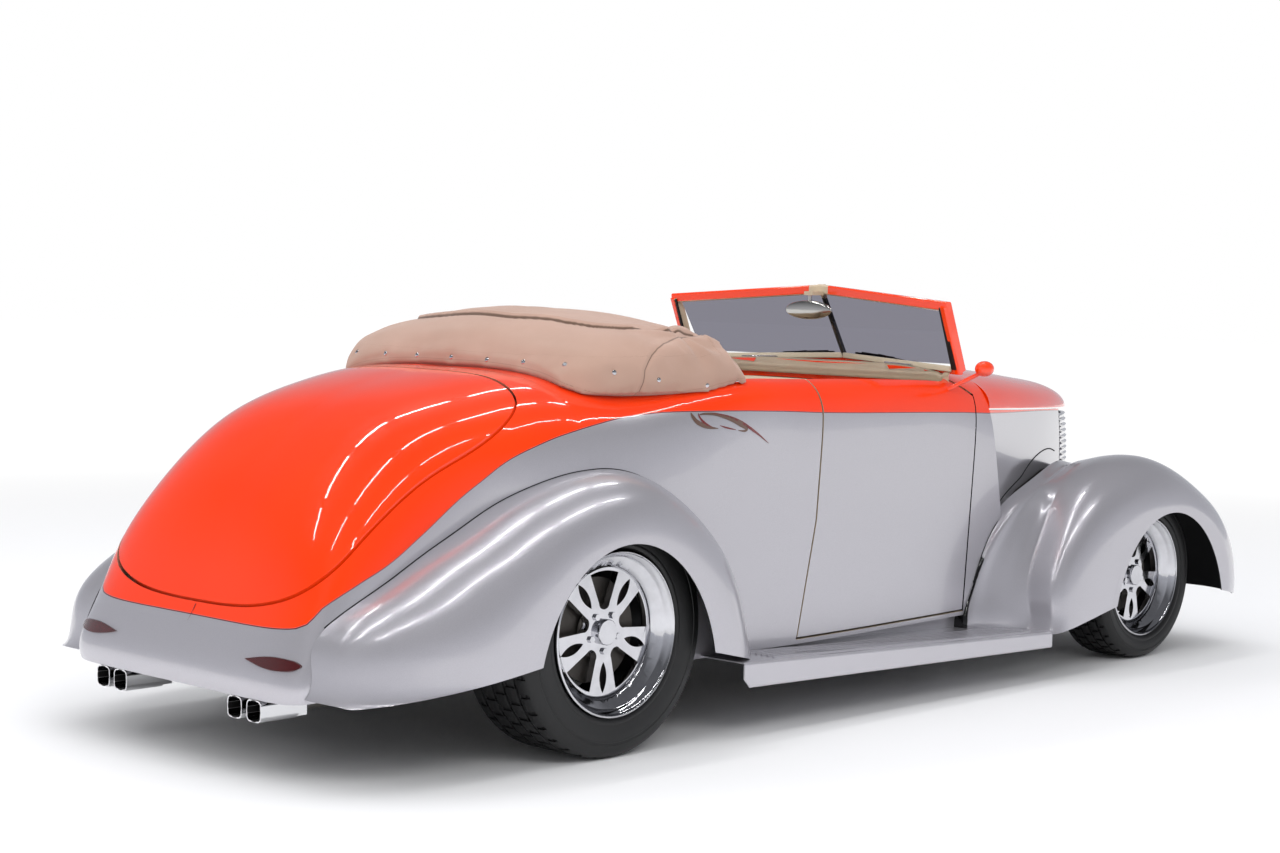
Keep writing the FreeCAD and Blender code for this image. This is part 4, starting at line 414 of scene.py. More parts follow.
def lens_clear():
    """Fluted glass of the headlights in front of a bright bowl, with a painted bucket behind."""
    m = Maker("clear_lens")
    y = m.axes()[1]
    nx = m.axes("Normal")[0]
    glass = nx.above(0.25, 0.1)
    flutes = (y * 900.0).wave()
    m.set(Base_Color=m.mix(glass, SILVER_LIGHT, colour(214, 218, 224)), Metallic=glass * 0.35 + 0.6,
          Roughness=0.16)
    m.set(Coat_Weight=1.0, Normal=m.bump(flutes * glass, 0.6, 0.0012))
    return m.material


def wheel_alloy(name, axle):
    """Polished alloy with a turned inner barrel, whose deep faces are painted dark as painted shade, and a
    dark iron brake disc behind the spokes.
    """
    m = Maker(name)
    x, y, z = m.axes()
    away = ((x - axle.x) * (x - axle.x) + (z - axle.z) * (z - axle.z)).root()
    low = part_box(name.replace("alloy_", "rim_") + "_right")[0]
    face = -low.y
    deep = 1.0 - y.absolute().above(face - BRAKE_DEPTH * MM, 0.001)
    disc = deep * (1.0 - away.above(BRAKE_RADIUS * MM, 0.001))
    rings = (away * 2600.0).wave()
    brushed = m.mix(m.noise(30.0, 3.0), colour(196, 196, 200), colour(222, 222, 226))
    # Painted shade: the deep barrel behind the spokes is painted near-black; the brake disc keeps its dark
    # iron colour.
    inner = m.mix(disc, colour(44, 44, 46), colour(74, 70, 66))
    m.set(Base_Color=m.mix(deep, brushed, inner), Metallic=1.0 - deep * 0.4, Roughness=deep * 0.30 + 0.09)
    m.set(Normal=m.bump(rings * disc, 0.25, 0.0004))
    return m.material


def exhaust_steel():
    """Bright tips with bores painted near-black as painted shade, duller pipes and silencers."""
    m = Maker("polished_steel")
    x, y, z = m.axes()
    bore = None
    for tip_y in TIP_PLACES:
        dy = y.absolute() - tip_y * MM
        dz = z - TIP_HEIGHT * MM
        inside = 1.0 - (dy * dy + dz * dz).root().above(TIP_BORE * MM, 0.0006)
        bore = inside if bore is None else bore + inside
    tail = 1.0 - x.above(car(TIP_SHINE_X, 0, 0).x, 0.02)
    bore = (bore * tail).clamped()
    base = m.mix(tail, colour(150, 146, 140), colour(220, 220, 222))
    # Painted shade: the bores inside the tips are painted near-black.
    m.set(Base_Color=m.mix(bore, base, colour(16, 15, 15)), Metallic=1.0 - bore * 0.9,
          Roughness=(1.0 - tail) * 0.3 + bore * 0.5 + 0.07)
    return m.material


def mirror_finish():
    """Orange bullet mirrors with a bright face and rim."""
    m = Maker("mirror_orange")
    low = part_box("side_mirror_right")[0]
    x, y = m.axes()[:2]
    bright = (1.0 - x.above(low.x + 0.007, 0.001)) * y.absolute().above(MIRROR_HEAD_Y * MM, 0.002)
    m.set(Base_Color=m.mix(bright, ORANGE, colour(216, 218, 222)), Metallic=bright,
          Roughness=(1.0 - bright) * 0.2 + 0.04)
    m.set(Coat_Weight=1.0 - bright)
    return m.material


def windshield_finish():
    """Orange frame, tan on its inner faces and on the mirror bracket, bright mirror head."""
    m = Maker("windshield_orange")
    x, y, z = m.axes()
    nx, ny, nz = m.axes("Normal")
    side = y / (y.absolute() + 0.001)
    lining = (0.0 - nz).above(0.5, 0.1) * z.above(HEADER_UNDER_Z * MM, 0.002)
    lining = lining + (0.0 - ny * side).above(0.6, 0.1) * y.absolute().above(0.3, 0.01)
    bracket = (1.0 - y.absolute().above(0.045, 0.001)) * (1.0 - nx.above(0.2, 0.1)) * z.above(1.25, 0.002)
    head = ((1.0 - y.absolute().above(0.125, 0.001)) * z.between(1.2, MIRROR_TOP_Z * MM, 0.001)
            * (1.0 - x.above(car(MIRROR_HEAD_X, 0, 0).x, 0.001)))
    tan = (lining + bracket).clamped() * (1.0 - head)
    base = m.mix(head, m.mix(tan, ORANGE, TRIM_TAN), colour(200, 198, 194))
    middle = (1.0 - y.absolute().above(0.0095, 0.001)) * z.between(1.118, 1.336, 0.002) * (1.0 - head)
    base = m.mix(middle, base, SATIN_BLACK)
    m.set(Base_Color=base, Metallic=head, Roughness=tan * 0.5 + (1.0 - tan) * 0.15,
          Coat_Weight=(1.0 - tan) * (1.0 - head))
    return m.material


def floor_finish():
    """Carpet in the cockpit and the trunk, satin black below."""
    m = Maker("floor_black")
    x, y, z = m.axes()
    nz = m.axes("Normal")[2]
    room = x.between(car(-600, 0, 0).x, car(1840, 0, 0).x, 0.002) * nz.above(-0.3, 0.1)
    room = room * (1.0 - y.absolute().above(0.60, 0.002)) * z.above(0.262, 0.001)
    pile = m.noise(900.0, 2.0)
    carpet = m.mix(m.noise(12.0, 4.0), colour(120, 96, 72), colour(142, 116, 90))
    m.set(Base_Color=m.mix(room, SATIN_BLACK, carpet), Roughness=room * 0.4 + 0.55,
          Normal=m.bump(pile * room, 0.9, 0.002))
    return m.material


# sizes used by the finishes, in millimetres
SEAT_CHANNEL = 107.0
WOOD_RADIUS = 166.0
BRAKE_DEPTH = 83.5
BRAKE_RADIUS = 160.0
TIP_PLACES = (279.0, 367.0)
TIP_HEIGHT = 199.0
TIP_BORE = 30.5
TIP_SHINE_X = -780.0
MIRROR_HEAD_Y = 706.0
HEADER_UNDER_Z = 1255.0
MIRROR_TOP_Z = 1345.0
MIRROR_HEAD_X = 1814.0

BODY_CORE = car(300, 0, 600)
BODY_REACH = 1.05
NOSE_CORE = car(2500, 0, 700)
DOOR_CORE = car(1400, 0, 600)
REAR_FENDER_CORE = {"left": car(0, 590, 340), "right": car(0, -590, 340)}
FRONT_FENDER_CORE = {"left": car(2845, 600, 290), "right": car(2845, -600, 290)}
TWO_TONE = {
    "body_shell": ("two_tone_body", BODY_CORE, BODY_REACH, TRIM_TAN),
    "cowl": ("two_tone_cowl", BODY_CORE, 1.6, TRIM_TAN),
    "roll_pan": ("two_tone_pan", car(-400, 0, 420), 0.1, LINER_BLACK),
    "deck_lid": ("two_tone_deck", BODY_CORE, BODY_REACH, LINER_BLACK),
    "hood_lid": ("two_tone_hood", NOSE_CORE, 0.6, LINER_BLACK),
    "hood_side_left": ("two_tone_hood_left", NOSE_CORE, 0.6, LINER_BLACK),
    "hood_side_right": ("two_tone_hood_right", NOSE_CORE, 0.6, LINER_BLACK),
    "front_apron": ("two_tone_apron", NOSE_CORE, 0.6, LINER_BLACK),
    "door_left": ("two_tone_door_left", DOOR_CORE, 0.6, TRIM_TAN),
    "door_right": ("two_tone_door_right", DOOR_CORE, 0.6, TRIM_TAN),
    "rear_fender_left": ("two_tone_rear_left", REAR_FENDER_CORE["left"], 0.25, LINER_BLACK),
    "rear_fender_right": ("two_tone_rear_right", REAR_FENDER_CORE["right"], 0.25, LINER_BLACK),
    "front_fender_left": ("two_tone_front_left", FRONT_FENDER_CORE["left"], 0.25, LINER_BLACK),
    "front_fender_right": ("two_tone_front_right", FRONT_FENDER_CORE["right"], 0.25, LINER_BLACK),
}

SLOTS = {
    "two_tone_paint": two_tone_paint("two_tone_paint", BODY_CORE, BODY_REACH, LINER_BLACK),
    "orange_paint": plain("orange_paint", ORANGE, 0.28, 0.0, 1.0),
    "silver_paint": silver_paint(),
    "black_paint": plain("black_paint", SATIN_BLACK, 0.45, grain=0.15),
    "smoked_glass": smoked_glass(),
    "tan_leather": seat_leather(),
    "tan_canvas": canvas(),
    "cast_metal": plain("cast_metal", colour(120, 120, 122), 0.5, 0.8, grain=0.4, grain_scale=220.0),
    "polished_steel": exhaust_steel(),
    "red_lens": lens_red(),
    "clear_lens": lens_clear(),
    "varnished_wood": steering_wheel_finish(),
    "polished_alloy": wheel_alloy("alloy_rear", REAR_AXLE),
    "tyre_rubber": rubber(),
}
ALLOY_FRONT = wheel_alloy("alloy_front", FRONT_AXLE)
BRIGHT = plain("bright_trim", colour(214, 214, 218), 0.08, 1.0)
SEAL = plain("black_seal", colour(20, 20, 20), 0.6, grain=0.2)
# Painted light: the dashboard tan is lighter than the cabin's other tans, to lift the pad, which sits in
# shade behind the panes.
DASH_TAN_LIGHTENED = leather("dash_tan_lightened", colour(222, 208, 184), colour(206, 192, 168))
DOOR_TAN = leather("door_tan", colour(190, 166, 136), colour(170, 146, 118))
STRIPE = plain("stripe_red", STRIPE_RED, 0.3, 0.0, 1.0)
STRIPE_BROWN = plain("stripe_brown", colour(112, 86, 74), 0.3, 0.3, 1.0)
DIAL_FACE = plain("dial_face", colour(232, 226, 212), 0.4)
OWN = {
    "rim_front_left": ALLOY_FRONT,
    "rim_front_right": ALLOY_FRONT,
    "grille": grille_finish(),
    "side_mirror_left": mirror_finish(),
    "windshield_frame": windshield_finish(),
    "floor_pan": floor_finish(),
    "dashboard": DASH_TAN_LIGHTENED,
}
OWN["side_mirror_right"] = OWN["side_mirror_left"]

for subpart in frame["record"]["subparts"]:
    shown = nodes[subpart["node"]]
    finish = OWN.get(subpart["node"], SLOTS[subpart["material_slot"]])
    if subpart["node"] in TWO_TONE:
        finish = two_tone_paint(*TWO_TONE[subpart["node"]])
    shown.data.materials.clear()
    shown.data.materials.append(finish)


# mesh helpers
def link_mesh(name, mesh, slot_name, body, finish=None):
    piece = bpy.data.objects.new(name, mesh)
    scene.collection.objects.link(piece)
    mesh.materials.append(finish or SLOTS[slot_name])
    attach(piece, body)
    return piece


def mesh_from(name, bm, degrees=35.0):
    bmesh.ops.recalc_face_normals(bm, faces=bm.faces)
    mesh = bpy.data.meshes.new(name)
    bm.to_mesh(mesh)
    bm.free()
    mesh.shade_smooth()
    mesh.set_sharp_from_angle(angle=math.radians(degrees))
    return mesh


def turned_to(axis):
    """The turn that takes +Z to axis."""
    return Vector((0.0, 0.0, 1.0)).rotation_difference(Vector(axis)).to_matrix().to_4x4()


def surface_of(*names):
    """A search tree over CAD nodes, for laying pieces on their surface."""
    places = []
    faces = []
    for name in names:
        mesh = nodes[name].data
        first = len(places)
        places += [v.co.copy() for v in mesh.vertices]
        faces += [[first + i for i in p.vertices] for p in mesh.polygons]
    return BVHTree.FromPolygons(places, faces)


# padded pieces
def merged_copy(node):
    bm = bmesh.new()
    bm.from_mesh(nodes[node].data)
    bmesh.ops.remove_doubles(bm, verts=bm.verts, dist=0.00005)
    bmesh.ops.recalc_face_normals(bm, faces=bm.faces)
    return bm


def voxel_mesh(bm, name, size, passes):
    mesh = bpy.data.meshes.new(name)
    bm.to_mesh(mesh)
    bm.free()
    rough = bpy.data.objects.new(name, mesh)
    scene.collection.objects.link(rough)
    remesh = rough.modifiers.new("voxels", "REMESH")
    remesh.mode = "VOXEL"
    remesh.voxel_size = size
    bpy.context.view_layer.update()
    done = bpy.data.meshes.new_from_object(rough.evaluated_get(bpy.context.evaluated_depsgraph_get()))
    bpy.data.objects.remove(rough)
    bm = bmesh.new()
    bm.from_mesh(done)
    for _ in range(passes):
        bmesh.ops.smooth_vert(bm, verts=bm.verts, factor=0.5, use_axis_x=True, use_axis_y=True,
                              use_axis_z=True)
    bm.to_mesh(done)
    bm.free()
    return done


def swell(mesh, cap, pressure, frames):
    """Blows the mesh up with Blender's cloth, by cap at most, and returns the new places."""
    start = places_of(mesh)
    body = bpy.data.objects.new("swelling", mesh)
    scene.collection.objects.link(body)
    cloth = body.modifiers.new("cloth", "CLOTH")
    cloth.settings.use_pressure = True
    cloth.settings.uniform_pressure_force = pressure
    cloth.settings.effector_weights.gravity = 0.0
    cloth.settings.quality = 4
    for step in range(1, frames + 1):
        scene.frame_set(step)
    blown = bpy.data.meshes.new_from_object(body.evaluated_get(bpy.context.evaluated_depsgraph_get()))
    end = places_of(blown)
    scene.frame_set(1)
    body.modifiers.clear()
    bpy.data.objects.remove(body)
    bpy.data.meshes.remove(blown)
    move = end - start
    length = np.linalg.norm(move, axis=1, keepdims=True)
    return start + move * np.minimum(1.0, cap / np.maximum(length, 1e-9))


def places_of(mesh):
    out = np.empty(len(mesh.vertices) * 3)
    mesh.vertices.foreach_get("co", out)
    return out.reshape(-1, 3)


def normals_of(mesh):
    out = np.empty(len(mesh.vertices) * 3)
    mesh.vertex_normals.foreach_get("vector", out)
    return out.reshape(-1, 3)


def set_places(mesh, places):
    mesh.vertices.foreach_set("co", places.reshape(-1))
    mesh.update()


def set_attribute(mesh, name, values):
    made = mesh.attributes.new(name, "FLOAT", "POINT")
    made.data.foreach_set("value", values)


def hump(distance, width):
    return np.exp(-(distance / width) ** 2)


def ramp(value, low, high):
    share = np.clip((value - low) / (high - low), 0.0, 1.0)
    return share * share * (3.0 - 2.0 * share)


# Cover over the folded top: places in millimetres from the rear axle, the centre plane and the ground.
# The fold, the arm's seam and the snaps were picked by hand on the photograph and carried onto the CAD
# by a scratch ray caster, then rounded, and some points were moved or added by hand.
BOOT_VOXEL = 0.0075
FOLD_LINE = ((0, 185), (120, 190), (210, 209), (322, 228), (413, 259), (479, 318), (502, 400),
             (512, 520), (516, 600))
FOLD_HEIGHT = 8.0
ARM_SEAM = ((262, 1050), (269, 1089), (275, 1127), (292, 1152), (312, 1172), (345, 1190), (385, 1204),
            (450, 1216), (520, 1222), (600, 1222))
ARM_TOP = (500.0, 540.0)
SNAPS = ((40, 0, 1146), (42, 165, 1145), (49, 325, 1143), (66, 490, 1141), (169, 597, 1120),
         (329, 630, 1096), (529, 647, 1075), (675, 645, 1077))
SNAP_RADIUS = 8.0


def line_distance(px, py, line):
    """Signed distance of points to a line of places: positive on the left of its run."""
    best = np.full(len(px), 1e9)
    sign = np.ones(len(px))
    for (x0, y0), (x1, y1) in zip(line, line[1:]):
        dx, dy = x1 - x0, y1 - y0
        share = np.clip(((px - x0) * dx + (py - y0) * dy) / (dx * dx + dy * dy), 0.0, 1.0)
        away = np.hypot(px - x0 - share * dx, py - y0 - share * dy)
        nearer = away < best
        best = np.where(nearer, away, best)
        side = np.sign(dx * (py - y0) - dy * (px - x0))
        sign = np.where(nearer, side, sign)
    return best * sign


def noise_at(places, scale, seed):
    return np.array([noise.noise(Vector(p) * scale + Vector((seed, seed * 0.7, seed * 1.3))) for p in places])


def make_boot():
    mesh = voxel_mesh(merged_copy("top_boot"), "boot_cover", BOOT_VOXEL, 3)
    places = swell(mesh, 0.006, 1.5, 12)
    set_places(mesh, places)
    normals = normals_of(mesh)
    mm = (places - np.array([REAR_AXLE.x, 0.0, 0.0])) / MM
    x, z = mm[:, 0], mm[:, 2]
    y = np.abs(mm[:, 1])
    body = surface_of("body_shell")
    away = np.array([min((body.find_nearest(Vector(p), 0.08)[3] or 0.08), 0.08) for p in places])
    free = ramp(away, 0.003, 0.030)
    top = ramp(normals[:, 2], 0.15, 0.5) * ramp(z, 1150.0, 1200.0)
    fold = line_distance(y, x, FOLD_LINE)
    fold = np.where(top > 0.02, fold, -60.0)
    fold = np.where(x > 610.0, 60.0, fold)
    raised = ramp(fold, -3.0, 9.0)
    lift = (raised * FOLD_HEIGHT * ramp(-(x - 640.0), 0.0, 60.0)
            + 4.0 * hump(fold - 12.0, 10.0) - 3.0 * hump(fold + 4.0, 6.0))
    lift = lift * top
    seam = line_distance(x, z, ARM_SEAM)
    seam = np.where((normals[:, 2] > 0.8) & (x < 330.0), 60.0, seam)
    seam = np.where(y < 430.0, 60.0, seam)
    lift = lift - 3.5 * hump(seam, 6.0) + 2.0 * hump(seam - 12.0, 9.0)
    dx = x - ARM_TOP[0]
    dy = (y - ARM_TOP[1]) * 0.8 + (1215.0 - z) * 0.9
    angle = np.arctan2(dy, dx)
    spread = np.hypot(dx, dy)
    wander = noise_at(places, 9.0, 3.1)
    rays = np.sin(angle * 6.0 + wander * 3.0) * hump(spread - 105.0, 80.0)
    lift = lift + rays * 8.0 * ramp(y, 380.0, 470.0)
    rear = 1.0 - ramp(x, 240.0, 420.0)
    lift = (lift + noise_at(places, 4.0, 1.7) * 6.0
            + noise_at(places * np.array([1.0, 0.4, 1.6]), 14.0, 5.3) * 3.5)
    lift = lift + rear * np.sin(y / 82.0 + wander * 2.0) * 1.5 * (1.0 - ramp(z, 1130.0, 1230.0))
    for sx, sy, sz in SNAPS:
        lift = lift - 4.0 * hump(np.sqrt((x - sx) ** 2 + (y - sy) ** 2 + (z - sz) ** 2), 24.0)
    lift = np.clip(lift, -9.0, 17.0) * free
    set_places(mesh, places + normals * (lift * MM)[:, None])
    # The fold distance drives the painted shadow along the fold in the canvas finish.
    set_attribute(mesh, "fold", np.where(top > 0.3, fold, 60.0) * MM)
    set_attribute(mesh, "seam", seam * MM)
    set_attribute(mesh, "hem", away)
    mesh.shade_smooth()
    cover = link_mesh("boot_cover", mesh, "tan_canvas", "body")
    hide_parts("top_boot")
    return mesh


def make_snaps(cover):
    tree = BVHTree.FromPolygons([v.co for v in cover.vertices], [list(p.vertices) for p in cover.polygons])
    bm = bmesh.new()
    for sx, sy, sz in SNAPS:
        for side in ((1.0, -1.0) if sy else (1.0,)):
            place, normal, _, _ = tree.find_nearest(car(sx, sy * side, sz))
            turn = Matrix.Translation(place + normal * 0.0005) @ turned_to(normal)
            bmesh.ops.create_uvsphere(bm, u_segments=20, v_segments=10, radius=SNAP_RADIUS * MM,
                                      matrix=turn @ Matrix.Diagonal((1.0, 1.0, 0.42, 1.0)))
    link_mesh("boot_snaps", mesh_from("boot_snaps", bm), "polished_steel", "body", BRIGHT)


# Seats
SEAT_VOXEL = 0.009
SEAT_CAP = 0.018
SEAT_SHRINK = 0.012
CENTRE_GAP = 9.0


def make_seat(node, name):
    bm = merged_copy(node)
    low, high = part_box(node)
    middle = (low + high) / 2.0
    for v in bm.verts:
        for axis in range(3):
            half = (high[axis] - low[axis]) / 2.0
            v.co[axis] = middle[axis] + (v.co[axis] - middle[axis]) * (half - SEAT_SHRINK) / half
    mesh = voxel_mesh(bm, name, SEAT_VOXEL, 2)
    places = swell(mesh, SEAT_CAP, 4.0, 20)
    set_places(mesh, places)
    normals = normals_of(mesh)
    y = places[:, 1] / MM
    pitch = SEAT_CHANNEL
    to_seam = np.abs((y / pitch + 0.5) % 1.0 - 0.5) * pitch
    facing = np.maximum(normals[:, 0], normals[:, 2])
    open_side = ramp(facing, 0.2, 0.7)
    lift = open_side * (5.0 * (1.0 - (to_seam / pitch * 2.0 - 1.0) ** 2) - 5.0 * hump(to_seam, 9.0))
    lift = lift - 12.0 * hump(y, CENTRE_GAP) * open_side + noise_at(places, 7.0, 2.2) * 3.0
    places = places + normals * (lift * MM)[:, None]
    margin = 0.004
    for axis in range(3):
        places[:, axis] = np.clip(places[:, axis], low[axis] - margin, high[axis] + margin * 4)
    set_places(mesh, places)
    mesh.shade_smooth()
    seat = link_mesh(name, mesh, "tan_leather", "body")
    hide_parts(node)


boot = make_boot()
make_snaps(boot)
make_seat("seat_cushion", "seat_cushion_pad")
make_seat("seat_back", "seat_back_pad")

# Tyres
TREAD_GROOVES_SHARE = (0.22, 0.41, 0.59, 0.78)
GROOVE_WIDTH = 9.0
GROOVE_DEPTH = 7.0
SIPE_DEPTH = 5.0
TYRE_STEPS = 156
SIPE_EVERY = 4


def tyre_section(radius, bead, width):
    """Outline of a tyre round the tread, as (radius, distance from its outer face) in metres."""
    wall = radius - bead
    side = [(bead, 0.019), (bead + 0.004, 0.012), (bead + 0.010, 0.006), (bead + 0.016, 0.0035),
            (bead + 0.021, 0.0035), (bead + 0.024, 0.005),
            (bead + wall * 0.40, 0.0012), (bead + wall * 0.52, 0.0), (bead + wall * 0.60, 0.0006),
            (bead + wall * 0.61, 0.0020), (bead + wall * 0.66, 0.0026),
            (bead + wall * 0.67, 0.0014), (radius - 0.021, 0.0052), (radius - 0.012, 0.0105),
            (radius - 0.005, 0.019), (radius - 0.001, 0.031)]
    tread = []
    for share in TREAD_GROOVES_SHARE:
        centre = width * share
        half = GROOVE_WIDTH * MM / 2.0
        tread += [(radius, centre - half - 0.0012), (radius - 0.0006, centre - half),
                  (radius - GROOVE_DEPTH * MM, centre - half * 0.6),
                  (radius - GROOVE_DEPTH * MM, centre + half * 0.6), (radius - 0.0006, centre + half),
                  (radius, centre + half + 0.0012)]
    other = [(r, width - u) for r, u in reversed(side)]
    return side + tread + other


def make_tyre(node, body):
    low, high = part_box(node)
    radius = (high.z - low.z) / 2.0
    width = high.y - low.y
    centre = (low + high) / 2.0
    rim_low, rim_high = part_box(node.replace("tyre_", "rim_"))
    bead = (rim_high.z - rim_low.z) / 2.0 - 0.002
    outer = high.y if centre.y > 0.0 else low.y
    inward = -1.0 if centre.y > 0.0 else 1.0
    bm = bmesh.new()
    section = tyre_section(radius, bead, width)
    ring = [bm.verts.new((centre.x, outer + inward * u, centre.z + r)) for r, u in section]
    edges = [bm.edges.new(pair) for pair in zip(ring, ring[1:])]
    edges.append(bm.edges.new((ring[-1], ring[0])))
    bmesh.ops.spin(bm, geom=ring + edges, cent=centre, axis=(0.0, 1.0, 0.0), angle=math.tau,
                   steps=TYRE_STEPS, use_merge=True, use_duplicate=False)
    bmesh.ops.remove_doubles(bm, verts=bm.verts, dist=0.00002)
    bmesh.ops.recalc_face_normals(bm, faces=bm.faces)
    chosen = []
    for face in bm.faces:
        spot = face.calc_center_median()
        away = math.hypot(spot.x - centre.x, spot.z - centre.z)
        across = abs(spot.y - outer) / width
        turn = math.atan2(spot.z - centre.z, spot.x - centre.x) / math.tau * TYRE_STEPS
        rib = sum(across > s for s in TREAD_GROOVES_SHARE)
        if (away > radius - 0.0045 and face.calc_area() > 0.00008
                and int(turn + TYRE_STEPS + rib * 2) % SIPE_EVERY == 0):
            chosen.append(face)
    bmesh.ops.inset_individual(bm, faces=chosen, thickness=0.0012, depth=-SIPE_DEPTH * MM)
    piece = link_mesh(node + "_tread", mesh_from(node + "_tread", bm, 30.0), "tyre_rubber", body)
    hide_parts(node)


# Wheels with open windows between split spokes. They replace the CAD rims, whose windows are shallow
# pockets because their cutters stop short of the spoke disc.
SPOKES = 5
DISC_RADIUS = 190.0
REAR_RIM_HALF = 246.0
WINDOW_OUTER_SHARE = 0.952
WINDOW_INNER_SHARE = 0.452
WINDOW_OUTER_TURN = math.radians(18.6)
WINDOW_INNER_TURN = math.radians(14.4)
SLOT_OUTER_SHARE = 0.958
SLOT_INNER_SHARE = 0.47
SLOT_HALF = 14.5
CUT_DEPTHS = (30.0, 88.0)
SPOKE_FRONT = 60.0
SPOKE_CHAMFER = 3.0


def arc_points(centre_r, turns, count):
    """Places (x, z) on an arc of radius centre_r between two turns from the top."""
    first, last = turns
    return [(centre_r * math.sin(first + (last - first) * k / count),
             centre_r * math.cos(first + (last - first) * k / count)) for k in range(count + 1)]


def window_outline(stretch):
    low = WINDOW_INNER_SHARE * DISC_RADIUS
    high = WINDOW_OUTER_SHARE * DISC_RADIUS * stretch
    far = arc_points(high, (-WINDOW_OUTER_TURN, WINDOW_OUTER_TURN), 12)
    half = low * math.sin(WINDOW_INNER_TURN)
    base = low * math.cos(WINDOW_INNER_TURN)
    root = [(half * math.cos(t), base - half * 0.8 * math.sin(t))
            for t in (math.pi * k / 10.0 for k in range(11))]
    return far + root


def slot_outline(stretch):
    low = SLOT_INNER_SHARE * DISC_RADIUS
    high = SLOT_OUTER_SHARE * DISC_RADIUS * stretch
    right = [(SLOT_HALF * math.sin(math.pi * k / 12.0) ** 0.8, low + (high - low) * k / 12.0)
             for k in range(13)]
    return right + [(-x, z) for x, z in reversed(right[1:-1])]


def wheel_cutters(centre, face, way, stretch):
    bm = bmesh.new()
    near, far = (d * MM for d in CUT_DEPTHS)
    for k in range(SPOKES):
        for outline, turn in ((window_outline(stretch), k / SPOKES),
                              (slot_outline(stretch), (k + 0.5) / SPOKES)):
            spin = Matrix.Rotation(math.tau * turn, 4, "Y")
            ring_verts = [bm.verts.new(Matrix.Translation((centre.x, face - way * near, centre.z))
                                       @ spin @ Vector((x * MM, 0.0, z * MM))) for x, z in outline]
            cap = bm.faces.new(ring_verts)
            grown = bmesh.ops.extrude_face_region(bm, geom=[cap])
            moved = [g for g in grown["geom"] if isinstance(g, bmesh.types.BMVert)]
            bmesh.ops.translate(bm, vec=(0.0, -way * (far - near), 0.0), verts=moved)
    bmesh.ops.recalc_face_normals(bm, faces=bm.faces)
    mesh = bpy.data.meshes.new("cutters")
    bm.to_mesh(mesh)
    bm.free()
    return mesh


def make_rim(node, body):
    low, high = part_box(node)
    centre = (low + high) / 2.0
    way = 1.0 if centre.y > 0.0 else -1.0
    face = high.y if way > 0.0 else low.y
    stretch = (high.z - low.z) / 2.0 / MM / REAR_RIM_HALF
    cutter = bpy.data.objects.new("cutters", wheel_cutters(centre, face, way, stretch))
    scene.collection.objects.link(cutter)
    bm = merged_copy(node)
    solid = bpy.data.meshes.new("rim_solid")
    bm.to_mesh(solid)
    bm.free()
    whole = bpy.data.objects.new("rim_solid", solid)
    scene.collection.objects.link(whole)
    cut = whole.modifiers.new("windows", "BOOLEAN")
    cut.operation = "DIFFERENCE"
    cut.solver = "EXACT"
    cut.object = cutter
    bpy.context.view_layer.update()
    done = bpy.data.meshes.new_from_object(whole.evaluated_get(bpy.context.evaluated_depsgraph_get()))
    bpy.data.objects.remove(whole)
    bpy.data.objects.remove(cutter)
    done.materials.clear()
    bm = bmesh.new()
    bm.from_mesh(done)
    bpy.data.meshes.remove(done)
    bmesh.ops.remove_doubles(bm, verts=bm.verts, dist=0.00002)
    bmesh.ops.dissolve_limit(bm, angle_limit=math.radians(0.4), verts=bm.verts, edges=bm.edges)
    rim_edges = []
    for edge in bm.edges:
        if len(edge.link_faces) != 2 or edge.calc_face_angle(0.0) < math.radians(60.0):
            continue
        depths = [abs(face - v.co.y) / MM for v in edge.verts]
        away = [math.hypot(v.co.x - centre.x, v.co.z - centre.z) / MM for v in edge.verts]
        if (max(abs(d - SPOKE_FRONT) for d in depths) < 0.5 and min(away) > 74.0
                and max(away) < DISC_RADIUS * stretch - 2.0):
            rim_edges.append(edge)
    bmesh.ops.bevel(bm, geom=rim_edges, offset=SPOKE_CHAMFER * MM, segments=2, profile=0.5,
                    affect="EDGES", material=-1, clamp_overlap=True)
    piece = link_mesh(node + "_open", mesh_from(node + "_open", bm, 14.0), "polished_alloy", body,
                      ALLOY_FRONT if "front" in node else SLOTS["polished_alloy"])
    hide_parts(node)


for end in ("rear", "front"):
    for side in ("left", "right"):
        make_tyre(f"tyre_{end}_{side}", f"{end}_{side}_wheel")
        make_rim(f"rim_{end}_{side}", f"{end}_{side}_wheel")


# bars, rings and laid pieces
def bar(bm, start, end, across, width, depth, rounding=0.0):
    """A straight bar from start to end, width along across."""
    along = (end - start).normalized()
    side = (Vector(across) - along * along.dot(Vector(across))).normalized()
    turn = Matrix((side, along.cross(side), along)).transposed().to_4x4()
    size = Matrix.Diagonal((width, depth, (end - start).length, 1.0))
    made = bmesh.ops.create_cube(bm, size=1.0, matrix=Matrix.Translation((start + end) / 2.0) @ turn @ size)
    if rounding:
        edges = list({e for v in made["verts"] for e in v.link_edges})
        bmesh.ops.bevel(bm, geom=edges, offset=rounding, segments=3, profile=0.5, affect="EDGES", material=-1)


def rod(bm, start, end, radius, sides=16, end_radius=None):
    """A round bar from start to end."""
    turn = Matrix.Translation((start + end) / 2.0) @ turned_to(end - start)
    bmesh.ops.create_cone(bm, cap_ends=True, segments=sides, radius1=radius,
                          radius2=radius if end_radius is None else end_radius,
                          depth=(end - start).length, matrix=turn)


def ring(bm, centre, axis, radius, section, steps=48):
    """A round ring of a round section."""
    turn = Matrix.Translation(centre) @ turned_to(axis)
    made = bmesh.ops.create_circle(bm, segments=14, radius=section,
                                   matrix=turn @ Matrix.Translation((radius, 0.0, 0.0))
                                   @ Matrix.Rotation(math.pi / 2.0, 4, "X"))
    geom = made["verts"] + list({e for v in made["verts"] for e in v.link_edges})
    bmesh.ops.spin(bm, geom=geom, cent=centre, axis=axis, angle=math.tau, steps=steps, use_merge=True,
                   use_duplicate=False)


